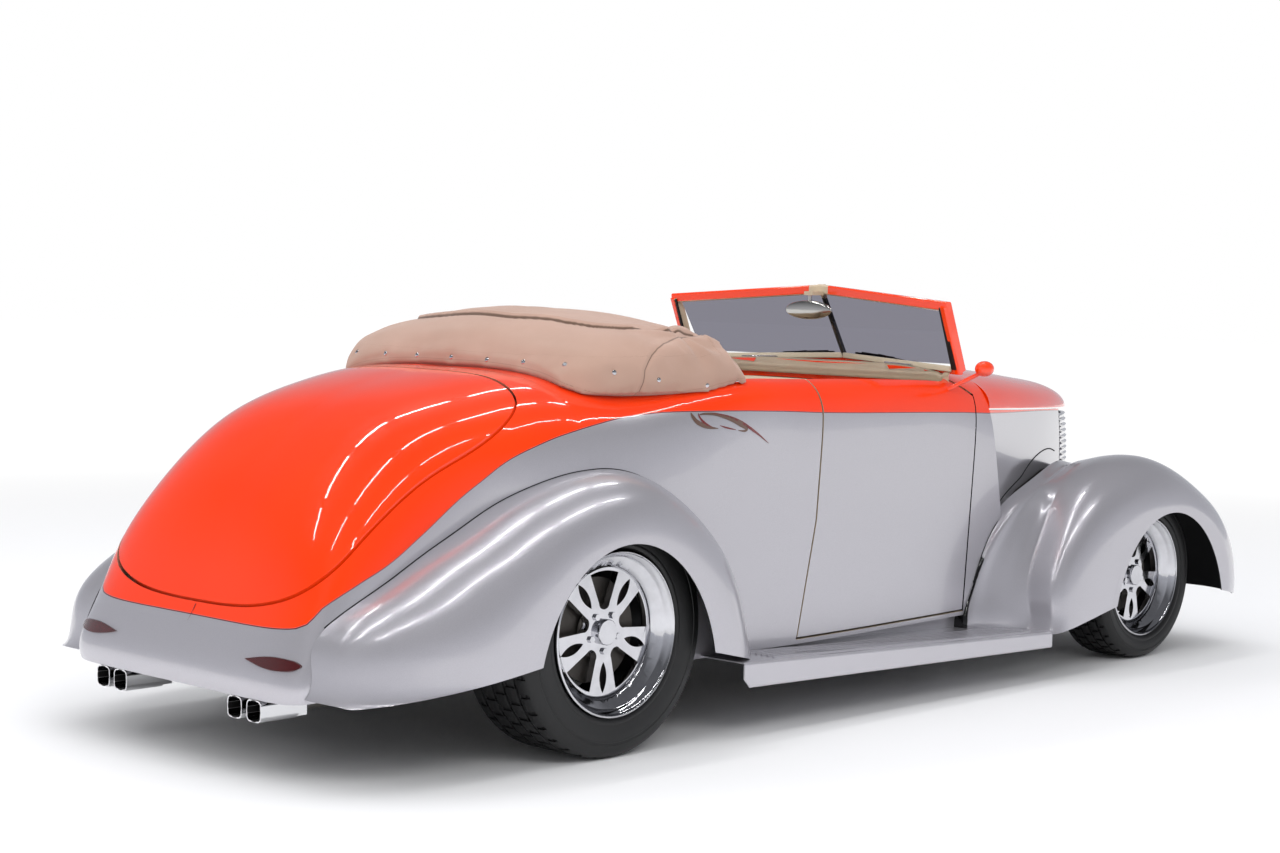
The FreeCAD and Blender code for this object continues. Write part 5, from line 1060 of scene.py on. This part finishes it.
# Windshield: corners of the pane plane in millimetres from the rear axle, the centre plane and the ground
PANE_BASE = (2003.0, 0.0, 1116.0)
PANE_BASE_SIDE = (1846.0, 640.0, 1092.0)
PANE_TOP = (1850.0, 0.0, 1368.0)
PANE_TOP_SIDE = (1752.0, 640.0, 1321.0)
POST_LOW = (1821.0, 634.0, 1100.0)
POST_HIGH = (1736.0, 634.0, 1316.0)
POST_SEAL_WIDTH = 24.0
POST_SEAL_DEPTH = 9.0


def pane(across, up, side, ahead=0.0):
    """A place on a pane: across 0 at the centre to 1 at the post, up 0 at the base to 1 at the header."""
    low = Vector(PANE_BASE).lerp(Vector(PANE_BASE_SIDE), across)
    high = Vector(PANE_TOP).lerp(Vector(PANE_TOP_SIDE), across)
    spot = low.lerp(high, up)
    return car(spot.x + ahead, spot.y * side, spot.z)


def make_post_seals():
    bm = bmesh.new()
    for side in (1.0, -1.0):
        low, high = Vector(POST_LOW), Vector(POST_HIGH)
        bar(bm, car(low.x, low.y * side, low.z), car(high.x, high.y * side, high.z), (0.0, 1.0, 0.0),
            POST_SEAL_WIDTH * MM, POST_SEAL_DEPTH * MM, 0.003)
    link_mesh("post_seals", mesh_from("post_seals", bm), "tyre_rubber", "body", SEAL)


BASE_TRIM_UP = 0.035
BASE_TRIM_BACK = -15.0
BASE_TRIM_WIDTH = 20.0


def make_base_trim():
    """Tan moulding along the foot of the panes, inside."""
    bm = bmesh.new()
    for side in (1.0, -1.0):
        bar(bm, pane(0.004, BASE_TRIM_UP, side, BASE_TRIM_BACK),
            pane(0.95, BASE_TRIM_UP, side, BASE_TRIM_BACK), (0.0, 0.0, 1.0), BASE_TRIM_WIDTH * MM,
            0.009, 0.003)
    link_mesh("screen_base_trim", mesh_from("screen_base_trim", bm), "tan_leather", "body", DASH_TAN_LIGHTENED)


WIPER_BLADE = (0.08, 0.46)
WIPER_UP = (0.075, 0.055)
WIPER_PIVOT_ACROSS = 0.55
WIPER_AHEAD = 16.0


def make_wipers():
    bm = bmesh.new()
    for side in (1.0, -1.0):
        inner = pane(WIPER_BLADE[0], WIPER_UP[0], side, WIPER_AHEAD)
        outer = pane(WIPER_BLADE[1], WIPER_UP[1], side, WIPER_AHEAD)
        bar(bm, inner, outer, (0.0, 0.0, 1.0), 0.011, 0.006, 0.0015)
        bar(bm, inner.lerp(outer, 0.12) + Vector((0.007, 0.0, 0.006)),
            inner.lerp(outer, 0.88) + Vector((0.007, 0.0, 0.006)), (0.0, 0.0, 1.0), 0.006, 0.004, 0.001)
        foot = pane(WIPER_PIVOT_ACROSS, 0.0, side, WIPER_AHEAD + 22.0) - Vector((0.0, 0.0, 0.004))
        rod(bm, inner.lerp(outer, 0.5) + Vector((0.010, 0.0, 0.008)), foot + Vector((0.0, 0.0, 0.012)),
            0.0032)
        rod(bm, foot - Vector((0.0, 0.0, 0.014)), foot + Vector((0.0, 0.0, 0.020)), 0.011, 24, 0.009)
    link_mesh("wipers", mesh_from("wipers", bm), "black_paint", "body", SEAL)


# Padded top of the dashboard between the cowl's rear edge and the panes
PAD_HALF_WIDTH = 604.0
PAD_STEPS = 90
PAD_ROWS = 10
PAD_THICK = 5.0
PAD_ROLL = 14.0
PAD_GLASS_GAP = 3.0


def make_dash_pad():
    cowl = surface_of("cowl")
    rows = []
    for i in range(PAD_STEPS + 1):
        y = PAD_HALF_WIDTH * (2.0 * i / PAD_STEPS - 1.0)
        glass_x = (PANE_BASE[0] + (PANE_BASE_SIDE[0] - PANE_BASE[0]) * abs(y) / PANE_BASE_SIDE[1]
                   - PAD_GLASS_GAP)
        rear_x = COWL_EDGE_X
        line = []
        for j in range(PAD_ROWS + 1):
            x = rear_x + max(glass_x - rear_x, 4.0) * j / PAD_ROWS
            spot = cowl.ray_cast(car(x, y, 1300.0), Vector((0.0, 0.0, -1.0)))[0]
            height = spot.z if spot else car(0.0, 0.0, 1085.0).z
            line.append(car(x, y, height / MM + PAD_THICK * 0.9))
        first = line[0]
        roll = [first + Vector((-PAD_ROLL * MM * math.sin(t), 0.0,
                                -PAD_ROLL * MM * (1.0 - math.cos(t)))) for t in (1.5, 1.2, 0.9, 0.6, 0.3)]
        foot = [roll[0] + Vector((0.004, 0.0, -0.022)), roll[0] + Vector((0.001, 0.0, -0.010))]
        rows.append(foot + roll + line)
    bm = bmesh.new()
    grid = [[bm.verts.new(p) for p in row] for row in rows]
    for a, b in zip(grid, grid[1:]):
        for k in range(len(a) - 1):
            bm.faces.new((a[k], a[k + 1], b[k + 1], b[k]))
    bmesh.ops.solidify(bm, geom=bm.faces[:], thickness=-PAD_THICK * MM)
    pad = link_mesh("dash_pad", mesh_from("dash_pad", bm, 60.0), "tan_leather", "body", DASH_TAN_LIGHTENED)
    return grid


COWL_EDGE_X = 1842.0
VENTS = (258.0, 404.0)
VENT_BACK = 26.0


def make_vents():
    cowl = surface_of("cowl")
    bm = bmesh.new()
    for side in (1.0, -1.0):
        ends = []
        for y in VENTS:
            x = (PANE_BASE[0] + (PANE_BASE_SIDE[0] - PANE_BASE[0]) * y / PANE_BASE_SIDE[1]
                 - PAD_GLASS_GAP - VENT_BACK)
            spot = cowl.ray_cast(car(x, y, 1300.0), Vector((0.0, 0.0, -1.0)))[0]
            ends.append(Vector((spot.x, y * side * MM, spot.z + (PAD_THICK + 1.5) * MM)))
        bar(bm, ends[0], ends[1], (1.0, 0.0, 0.0), 0.016, 0.007, 0.003)
    link_mesh("dash_vents", mesh_from("dash_vents", bm), "polished_steel", "body", BRIGHT)


# Instruments on the dashboard's rear face
DIALS = ((395.0, 968.0, 44.0), (285.0, 968.0, 44.0), (150.0, 970.0, 26.0), (80.0, 970.0, 26.0),
         (10.0, 970.0, 26.0))
DIAL_TICKS = 11
NEEDLE_TURN = (0.8, 2.1, 1.2, 0.4, 2.6)


def make_dials():
    dash = surface_of("dashboard")
    rims = bmesh.new()
    faces = bmesh.new()
    marks = bmesh.new()
    for (y, z, radius), turn in zip(DIALS, NEEDLE_TURN):
        spot, normal, _, _ = dash.ray_cast(car(1500.0, y, z), Vector((1.0, 0.0, 0.0)))
        size = radius * MM
        ring(rims, spot + normal * 0.002, normal, size, 0.0045)
        rod(faces, spot - normal * 0.003, spot + normal * 0.0015, size * 0.98, 48)
        up = Vector((0.0, 0.0, 1.0))
        side = up.cross(normal).normalized()
        lift = spot + normal * 0.0022
        for k in range(DIAL_TICKS):
            angle = math.pi * (1.25 - 1.5 * k / (DIAL_TICKS - 1))
            way = side * math.cos(angle) + up * math.sin(angle)
            bar(marks, lift + way * size * 0.74, lift + way * size * 0.90, normal, 0.0012, 0.0016)
        way = side * math.cos(turn) + up * math.sin(turn)
        bar(marks, lift - way * size * 0.12, lift + way * size * 0.70, normal, 0.0012, 0.0020)
        rod(marks, lift - normal * 0.001, lift + normal * 0.0025, size * 0.09, 16)
    link_mesh("dial_rims", mesh_from("dial_rims", rims), "polished_steel", "body", BRIGHT)
    link_mesh("dial_faces", mesh_from("dial_faces", faces), "clear_lens", "body", DIAL_FACE)
    link_mesh("dial_marks", mesh_from("dial_marks", marks), "black_paint", "body", SEAL)


# Door cards: armrest, pull and release on the inner face
def make_door_trim(side, body):
    way = 1.0 if side == "left" else -1.0
    door = surface_of("door_" + side)
    rest = bmesh.new()
    pulls = bmesh.new()

    def inner(x, z):
        return door.ray_cast(car(x, 0.0, z), Vector((0.0, way, 0.0)))[0]

    start, end = inner(1180.0, 700.0), inner(1560.0, 730.0)
    inward = Vector((0.0, -way, 0.0))
    bar(rest, start + inward * 0.022, end + inward * 0.022, (0.0, 0.0, 1.0), 0.055, 0.050, 0.018)
    link_mesh("armrest_" + side, mesh_from("armrest_" + side, rest, 60.0), "tan_leather", body, DOOR_TAN)
    hook = inner(1650.0, 800.0)
    rod(pulls, hook - inward * 0.002, hook + inward * 0.016, 0.016, 24)
    bar(pulls, hook + inward * 0.014, inner(1540.0, 812.0) + inward * 0.018, (0.0, 0.0, 1.0), 0.012,
        0.007, 0.002)
    crank = inner(1420.0, 640.0)
    rod(pulls, crank - inward * 0.002, crank + inward * 0.012, 0.022, 28)
    bar(pulls, crank + inward * 0.012, crank + inward * 0.016 + Vector((-0.075, 0.0, -0.03)),
        (0.0, 0.0, 1.0), 0.012, 0.006, 0.002)
    rod(pulls, crank + inward * 0.012 + Vector((-0.075, 0.0, -0.03)),
        crank + inward * 0.038 + Vector((-0.075, 0.0, -0.03)), 0.009, 20, 0.011)
    link_mesh("door_pulls_" + side, mesh_from("door_pulls_" + side, pulls), "polished_steel", body, BRIGHT)


# Scroll stripes behind the doors, as (x, z, half width) in millimetres along each stroke. The places were
# picked by hand on the photograph, carried onto the CAD by a scratch ray caster and moved a little by
# hand. The second stroke, the half widths and some points were added.
SCROLL = (
    ("stripe_brown", ((438, 994, 1.5), (441, 982, 6.0), (452, 967, 7.5), (476, 955, 7.0),
                      (504, 948, 4.5), (536, 944, 0.8))),
    ("stripe_red", ((466, 992, 1.0), (467, 981, 3.0), (476, 968, 4.0), (492, 957, 3.0), (512, 949, 0.8))),
    ("stripe_brown", ((470, 988, 1.5), (492, 990, 3.0), (530, 988, 4.5), (570, 979, 6.0),
                      (608, 967, 8.0), (640, 953, 9.0), (662, 940, 5.0), (650, 933, 3.5), (622, 936, 0.8))),
    ("stripe_red", ((520, 991, 0.8), (570, 984, 2.0), (627, 966, 4.0), (677, 941, 4.5),
                    (722, 916, 3.0), (764, 890, 0.6))),
    ("stripe_red", ((544, 953, 0.8), (575, 945, 2.6), (612, 938, 0.8))),
)
SCROLL_LIFT = 0.0010
SCROLL_START = 900.0
STROKE_STEPS = 8
STROKE_LEAST_HALF = 0.4


def make_scroll(side):
    way = 1.0 if side == "left" else -1.0
    body = surface_of("body_shell")
    for number, (finish, stroke) in enumerate(SCROLL):
        bm = bmesh.new()
        curve = []
        points = [Vector(p) for p in stroke]
        for k in range(len(points) - 1):
            before, here = points[max(k - 1, 0)], points[k]
            there, after = points[k + 1], points[min(k + 2, len(points) - 1)]
            for step in range(STROKE_STEPS):
                t = step / STROKE_STEPS
                curve.append(0.5 * ((2.0 * here) + (there - before) * t
                                    + (2.0 * before - 5.0 * here + 4.0 * there - after) * t * t
                                    + (3.0 * here - before - 3.0 * there + after) * t * t * t))
        curve.append(points[-1])
        rows = []
        for k, spot in enumerate(curve):
            ahead = curve[min(k + 1, len(curve) - 1)] - curve[max(k - 1, 0)]
            out = Vector((-ahead.y, ahead.x)).normalized() * max(spot.z, STROKE_LEAST_HALF)
            row = []
            for x, z in ((spot.x + out.x, spot.y + out.y), (spot.x, spot.y),
                         (spot.x - out.x, spot.y - out.y)):
                place, normal, _, _ = body.ray_cast(car(x, SCROLL_START * way, z), Vector((0.0, -way, 0.0)))
                row.append(bm.verts.new(place + normal * SCROLL_LIFT))
            rows.append(row)
        for a, b in zip(rows, rows[1:]):
            for k in range(2):
                bm.faces.new((a[k], a[k + 1], b[k + 1], b[k]))
        bmesh.ops.recalc_face_normals(bm, faces=bm.faces)
        if sum(f.normal.y * way for f in bm.faces) < 0.0:
            bmesh.ops.reverse_faces(bm, faces=bm.faces)
        mesh = bpy.data.meshes.new(f"scroll_{side}_{number}")
        bm.to_mesh(mesh)
        bm.free()
        mesh.shade_smooth()
        link_mesh(f"scroll_{side}_{number}", mesh, "two_tone_paint", "body",
                  STRIPE if finish == "stripe_red" else STRIPE_BROWN)


# Headlight rims
HEAD_RIM = 5.0


def make_headlight_rims():
    bm = bmesh.new()
    lamp = nodes["headlights"].data
    for way in (1.0, -1.0):
        points = [v.co for v in lamp.vertices if v.co.y * way > 0.0]
        y0 = min(p.y for p in points)
        y1 = max(p.y for p in points)
        z0 = min(p.z for p in points)
        z1 = max(p.z for p in points)
        widest = [p.x for p in points if p.z > z1 - 0.002]
        spot = Vector((sum(widest) / len(widest), (y0 + y1) / 2.0, (z0 + z1) / 2.0))
        first = len(bm.verts)
        ring(bm, spot, (1.0, 0.0, 0.0), 1.0, HEAD_RIM * MM / ((y1 - y0) / 2.0), 72)
        bm.verts.ensure_lookup_table()
        for v in bm.verts[first:]:
            v.co.y = spot.y + (v.co.y - spot.y) * (y1 - y0) / 2.0
            v.co.z = spot.z + (v.co.z - spot.z) * (z1 - z0) / 2.0
            v.co.x = spot.x + (v.co.x - spot.x) * (y1 - y0) / 2.0
    link_mesh("headlight_rims", mesh_from("headlight_rims", bm, 60.0), "polished_steel", "body", BRIGHT)


# Black welts between the fenders and the body
ROUND_SIDES = 8
SEARCH_STEPS = 16
SIDE_START = 1100.0
TAIL_START = -1300.0
WELT_RADIUS = 2.6
WELT_STEP = 14.0
WELTS = (("rear_fender", ("body_shell", "roll_pan"), -905.0, 570.0, 430.0, 980.0),
         ("front_fender", ("hood_side", "cowl", "door"), 1935.0, 2960.0, 330.0, 900.0))


def make_welt(fender, others, first_x, last_x, low_z, high_z, side):
    way = 1.0 if side == "left" else -1.0
    wing = surface_of(f"{fender}_{side}")
    shell = surface_of(*[n if n in nodes else f"{n}_{side}" for n in others])
    inward = Vector((0.0, -way, 0.0))
    line = []
    steps = int((last_x - first_x) / WELT_STEP)
    for k in range(steps + 1):
        x = first_x + (last_x - first_x) * k / steps
        low, high = low_z, high_z
        for _ in range(SEARCH_STEPS):
            z = (low + high) / 2.0
            start = car(x, SIDE_START * way, z)
            on_wing = wing.ray_cast(start, inward)
            on_shell = shell.ray_cast(start, inward)
            if on_wing[0] is not None and (on_shell[0] is None or on_wing[3] < on_shell[3]):
                low = z
            else:
                high = z
        spot = shell.ray_cast(car(x, SIDE_START * way, high), inward)[0]
        if spot is not None and low > low_z + 1.0:
            line.append(spot)
    for _ in range(2):
        line = [line[0]] + [(a + b * 2.0 + c) / 4.0 for a, b, c in zip(line, line[1:], line[2:])] + [line[-1]]
    bm = bmesh.new()
    rings = []
    for k, spot in enumerate(line):
        ahead = (line[min(k + 1, len(line) - 1)] - line[max(k - 1, 0)]).normalized()
        turn = Matrix.Translation(spot) @ turned_to(ahead)
        made = bmesh.ops.create_circle(bm, segments=ROUND_SIDES, radius=WELT_RADIUS * MM, matrix=turn)
        rings.append({e for v in made["verts"] for e in v.link_edges})
    for a, b in zip(rings, rings[1:]):
        bmesh.ops.bridge_loops(bm, edges=list(a | b))
    link_mesh(f"{fender}_welt_{side}", mesh_from(f"{fender}_welt_{side}", bm, 80.0), "tyre_rubber",
              "body", SEAL)


# Seam between the roll pan and each rear fender, and the small mark under the deck lid
SEAM_RADIUS = 1.4
SEAM_HEIGHTS = (262.0, 395.0)
SEAM_REACH = (470.0, 640.0)
MARK = ((452.0, -14.0), (404.0, -2.0))
MARK_HALF = 1.6
MARK_TIP_HALF = 0.3
MARK_LIFT = 0.0012
MARK_STEPS = 8
SEAM_STEPS = 14


def make_pan_seam(side):
    way = 1.0 if side == "left" else -1.0
    wing = surface_of("rear_fender_" + side)
    pan = surface_of("roll_pan", "body_shell")
    ahead = Vector((1.0, 0.0, 0.0))
    line = []
    for k in range(SEAM_STEPS + 1):
        z = SEAM_HEIGHTS[0] + (SEAM_HEIGHTS[1] - SEAM_HEIGHTS[0]) * k / SEAM_STEPS
        low, high = SEAM_REACH
        for _ in range(SEARCH_STEPS):
            y = (low + high) / 2.0
            start = car(TAIL_START, y * way, z)
            on_wing = wing.ray_cast(start, ahead)
            on_pan = pan.ray_cast(start, ahead)
            if on_pan[0] is not None and (on_wing[0] is None or on_pan[3] <= on_wing[3]):
                low = y
            else:
                high = y
        spot = pan.ray_cast(car(TAIL_START, low * way, z), ahead)[0]
        if spot is not None:
            line.append(spot)
    bm = bmesh.new()
    rings = []
    for k, spot in enumerate(line):
        run = (line[min(k + 1, len(line) - 1)] - line[max(k - 1, 0)]).normalized()
        made = bmesh.ops.create_circle(bm, segments=ROUND_SIDES, radius=SEAM_RADIUS * MM,
                                       matrix=Matrix.Translation(spot) @ turned_to(run))
        rings.append({e for v in made["verts"] for e in v.link_edges})
    for a, b in zip(rings, rings[1:]):
        bmesh.ops.bridge_loops(bm, edges=list(a | b))
    link_mesh(f"pan_seam_{side}", mesh_from(f"pan_seam_{side}", bm, 80.0), "tyre_rubber", "body", SEAL)


def make_mark():
    tail = surface_of("body_shell", "roll_pan", "deck_lid")
    bm = bmesh.new()
    spots = []
    for k in range(MARK_STEPS + 1):
        z = MARK[0][0] + (MARK[1][0] - MARK[0][0]) * k / MARK_STEPS
        y = MARK[0][1] + (MARK[1][1] - MARK[0][1]) * k / MARK_STEPS
        half = MARK_HALF * (1.0 - k / MARK_STEPS) + MARK_TIP_HALF
        row = []
        for edge in (-half, half):
            place, normal, _, _ = tail.ray_cast(car(TAIL_START, y + edge, z), Vector((1.0, 0.0, 0.0)))
            row.append(bm.verts.new(place + normal * MARK_LIFT))
        spots.append(row)
    for a, b in zip(spots, spots[1:]):
        bm.faces.new((a[0], a[1], b[1], b[0]))
    bmesh.ops.recalc_face_normals(bm, faces=bm.faces)
    if sum(f.normal.x for f in bm.faces) > 0.0:
        bmesh.ops.reverse_faces(bm, faces=bm.faces)
    mesh = bpy.data.meshes.new("tail_mark")
    bm.to_mesh(mesh)
    bm.free()
    link_mesh("tail_mark", mesh, "two_tone_paint", "body", STRIPE)


for side in ("left", "right"):
    for welt in WELTS:
        make_welt(*welt, side)
    make_pan_seam(side)
make_mark()
make_post_seals()
make_base_trim()
make_wipers()
make_dash_pad()
make_vents()
make_dials()
for side in ("left", "right"):
    make_door_trim(side, side + "_door")
    make_scroll(side)
make_headlight_rims()


# stage
FLOOR_HALF = 40.0
FLOOR_CLEAR = 3.6
FLOOR_FADE = 5.0
SHADE_COLOUR = (0.93, 0.94, 0.98, 1.0)
SHADE_STRENGTH = 0.80
WHITE = (1.0, 1.0, 1.0, 1.0)
MIRRORED_COLOUR = (0.86, 0.88, 0.95, 1.0)
MIRRORED_RISE = {"From Min": 0.02, "From Max": 0.55, "To Min": 0.62, "To Max": 0.14}


def floor_paint():
    """Pale floor that runs out to plain white away from the car."""
    m = Maker("floor_pale")
    x, y = m.axes()[:2]
    away = (x * x + y * y).root()
    fade = away.above(FLOOR_CLEAR + FLOOR_FADE / 2.0, FLOOR_FADE)
    m.set(Base_Color=m.mix(fade, colour(236, 236, 236), (0.0, 0.0, 0.0, 1.0)), Roughness=0.8,
          Specular_IOR_Level=0.2)
    m.set(Emission_Color=m.mix(fade, (0.0, 0.0, 0.0, 1.0), (1.0, 1.0, 1.0, 1.0)), Emission_Strength=1.0)
    return m.material


def make_stage():
    """Floor, lamps and a background that is white to the camera and darker overhead in reflections."""
    bm = bmesh.new()
    bmesh.ops.create_grid(bm, x_segments=1, y_segments=1, size=FLOOR_HALF)
    mesh = bpy.data.meshes.new("floor")
    bm.to_mesh(mesh)
    bm.free()
    floor = bpy.data.objects.new("floor", mesh)
    scene.collection.objects.link(floor)
    mesh.materials.append(floor_paint())
    world = bpy.data.worlds.new("studio")
    world.use_nodes = True
    scene.world = world
    tree = world.node_tree
    shade = tree.nodes["Background"]
    shade.inputs["Color"].default_value = SHADE_COLOUR
    shade.inputs["Strength"].default_value = SHADE_STRENGTH
    white = tree.nodes.new("ShaderNodeBackground")
    white.inputs["Color"].default_value = WHITE
    white.inputs["Strength"].default_value = 1.0
    path = tree.nodes.new("ShaderNodeLightPath")
    seen = tree.nodes.new("ShaderNodeMath")
    seen.operation = "MAXIMUM"
    tree.links.new(path.outputs["Is Camera Ray"], seen.inputs[0])
    tree.links.new(path.outputs["Is Transmission Ray"], seen.inputs[1])
    dim = tree.nodes.new("ShaderNodeBackground")
    dim.inputs["Color"].default_value = MIRRORED_COLOUR
    over = tree.nodes.new("ShaderNodeTexCoord")
    split = tree.nodes.new("ShaderNodeSeparateXYZ")
    tree.links.new(over.outputs["Generated"], split.inputs[0])
    rise = tree.nodes.new("ShaderNodeMapRange")
    for key, value in MIRRORED_RISE.items():
        rise.inputs[key].default_value = value
    tree.links.new(split.outputs[2], rise.inputs["Value"])
    tree.links.new(rise.outputs[0], dim.inputs["Strength"])
    mirrored = tree.nodes.new("ShaderNodeMixShader")
    tree.links.new(path.outputs["Is Glossy Ray"], mirrored.inputs[0])
    tree.links.new(shade.outputs[0], mirrored.inputs[1])
    tree.links.new(dim.outputs[0], mirrored.inputs[2])
    both = tree.nodes.new("ShaderNodeMixShader")
    tree.links.new(seen.outputs[0], both.inputs[0])
    tree.links.new(mirrored.outputs[0], both.inputs[1])
    tree.links.new(white.outputs[0], both.inputs[2])
    tree.links.new(both.outputs[0], tree.nodes["World Output"].inputs["Surface"])
    for name, place, size, power, mirrored_too in LAMPS:
        light = bpy.data.lights.new(name, "AREA")
        light.shape = "RECTANGLE"
        light.size, light.size_y = size
        light.energy = power
        lamp = bpy.data.objects.new(name, light)
        lamp.location = place
        if not mirrored_too:
            aim = Vector((place[0] * 0.2, 0.0, 0.5)) - Vector(place)
            lamp.rotation_euler = aim.to_track_quat("-Z", "Y").to_euler()
        lamp.visible_glossy = mirrored_too
        scene.collection.objects.link(lamp)


STRIP_ROWS = (-2.3, 0.2, 2.7)
STRIP_PLACES = (-4.9, -3.2, -1.5, 0.2, 1.9)
STRIP_HEIGHT = 5.0
STRIP_SIZE = (1.35, 0.11)
STRIP_POWER = 11.0
# Each lamp as (name, place, size, power, seen in reflections)
LAMPS = [("key", (-3.0, -6.0, 5.0), (5.0, 2.0), 130.0, False),
         ("tail", (-7.5, -1.5, 4.5), (2.0, 4.0), 105.0, False),
         ("far", (0.0, 6.5, 5.0), (6.0, 2.0), 80.0, False),
         ("nose", (7.0, -1.5, 4.0), (2.0, 4.0), 60.0, False)]
LAMPS += [(f"strip_{i}_{j}", (x, y, STRIP_HEIGHT), STRIP_SIZE, STRIP_POWER, True)
          for i, y in enumerate(STRIP_ROWS) for j, x in enumerate(STRIP_PLACES)]
make_stage()
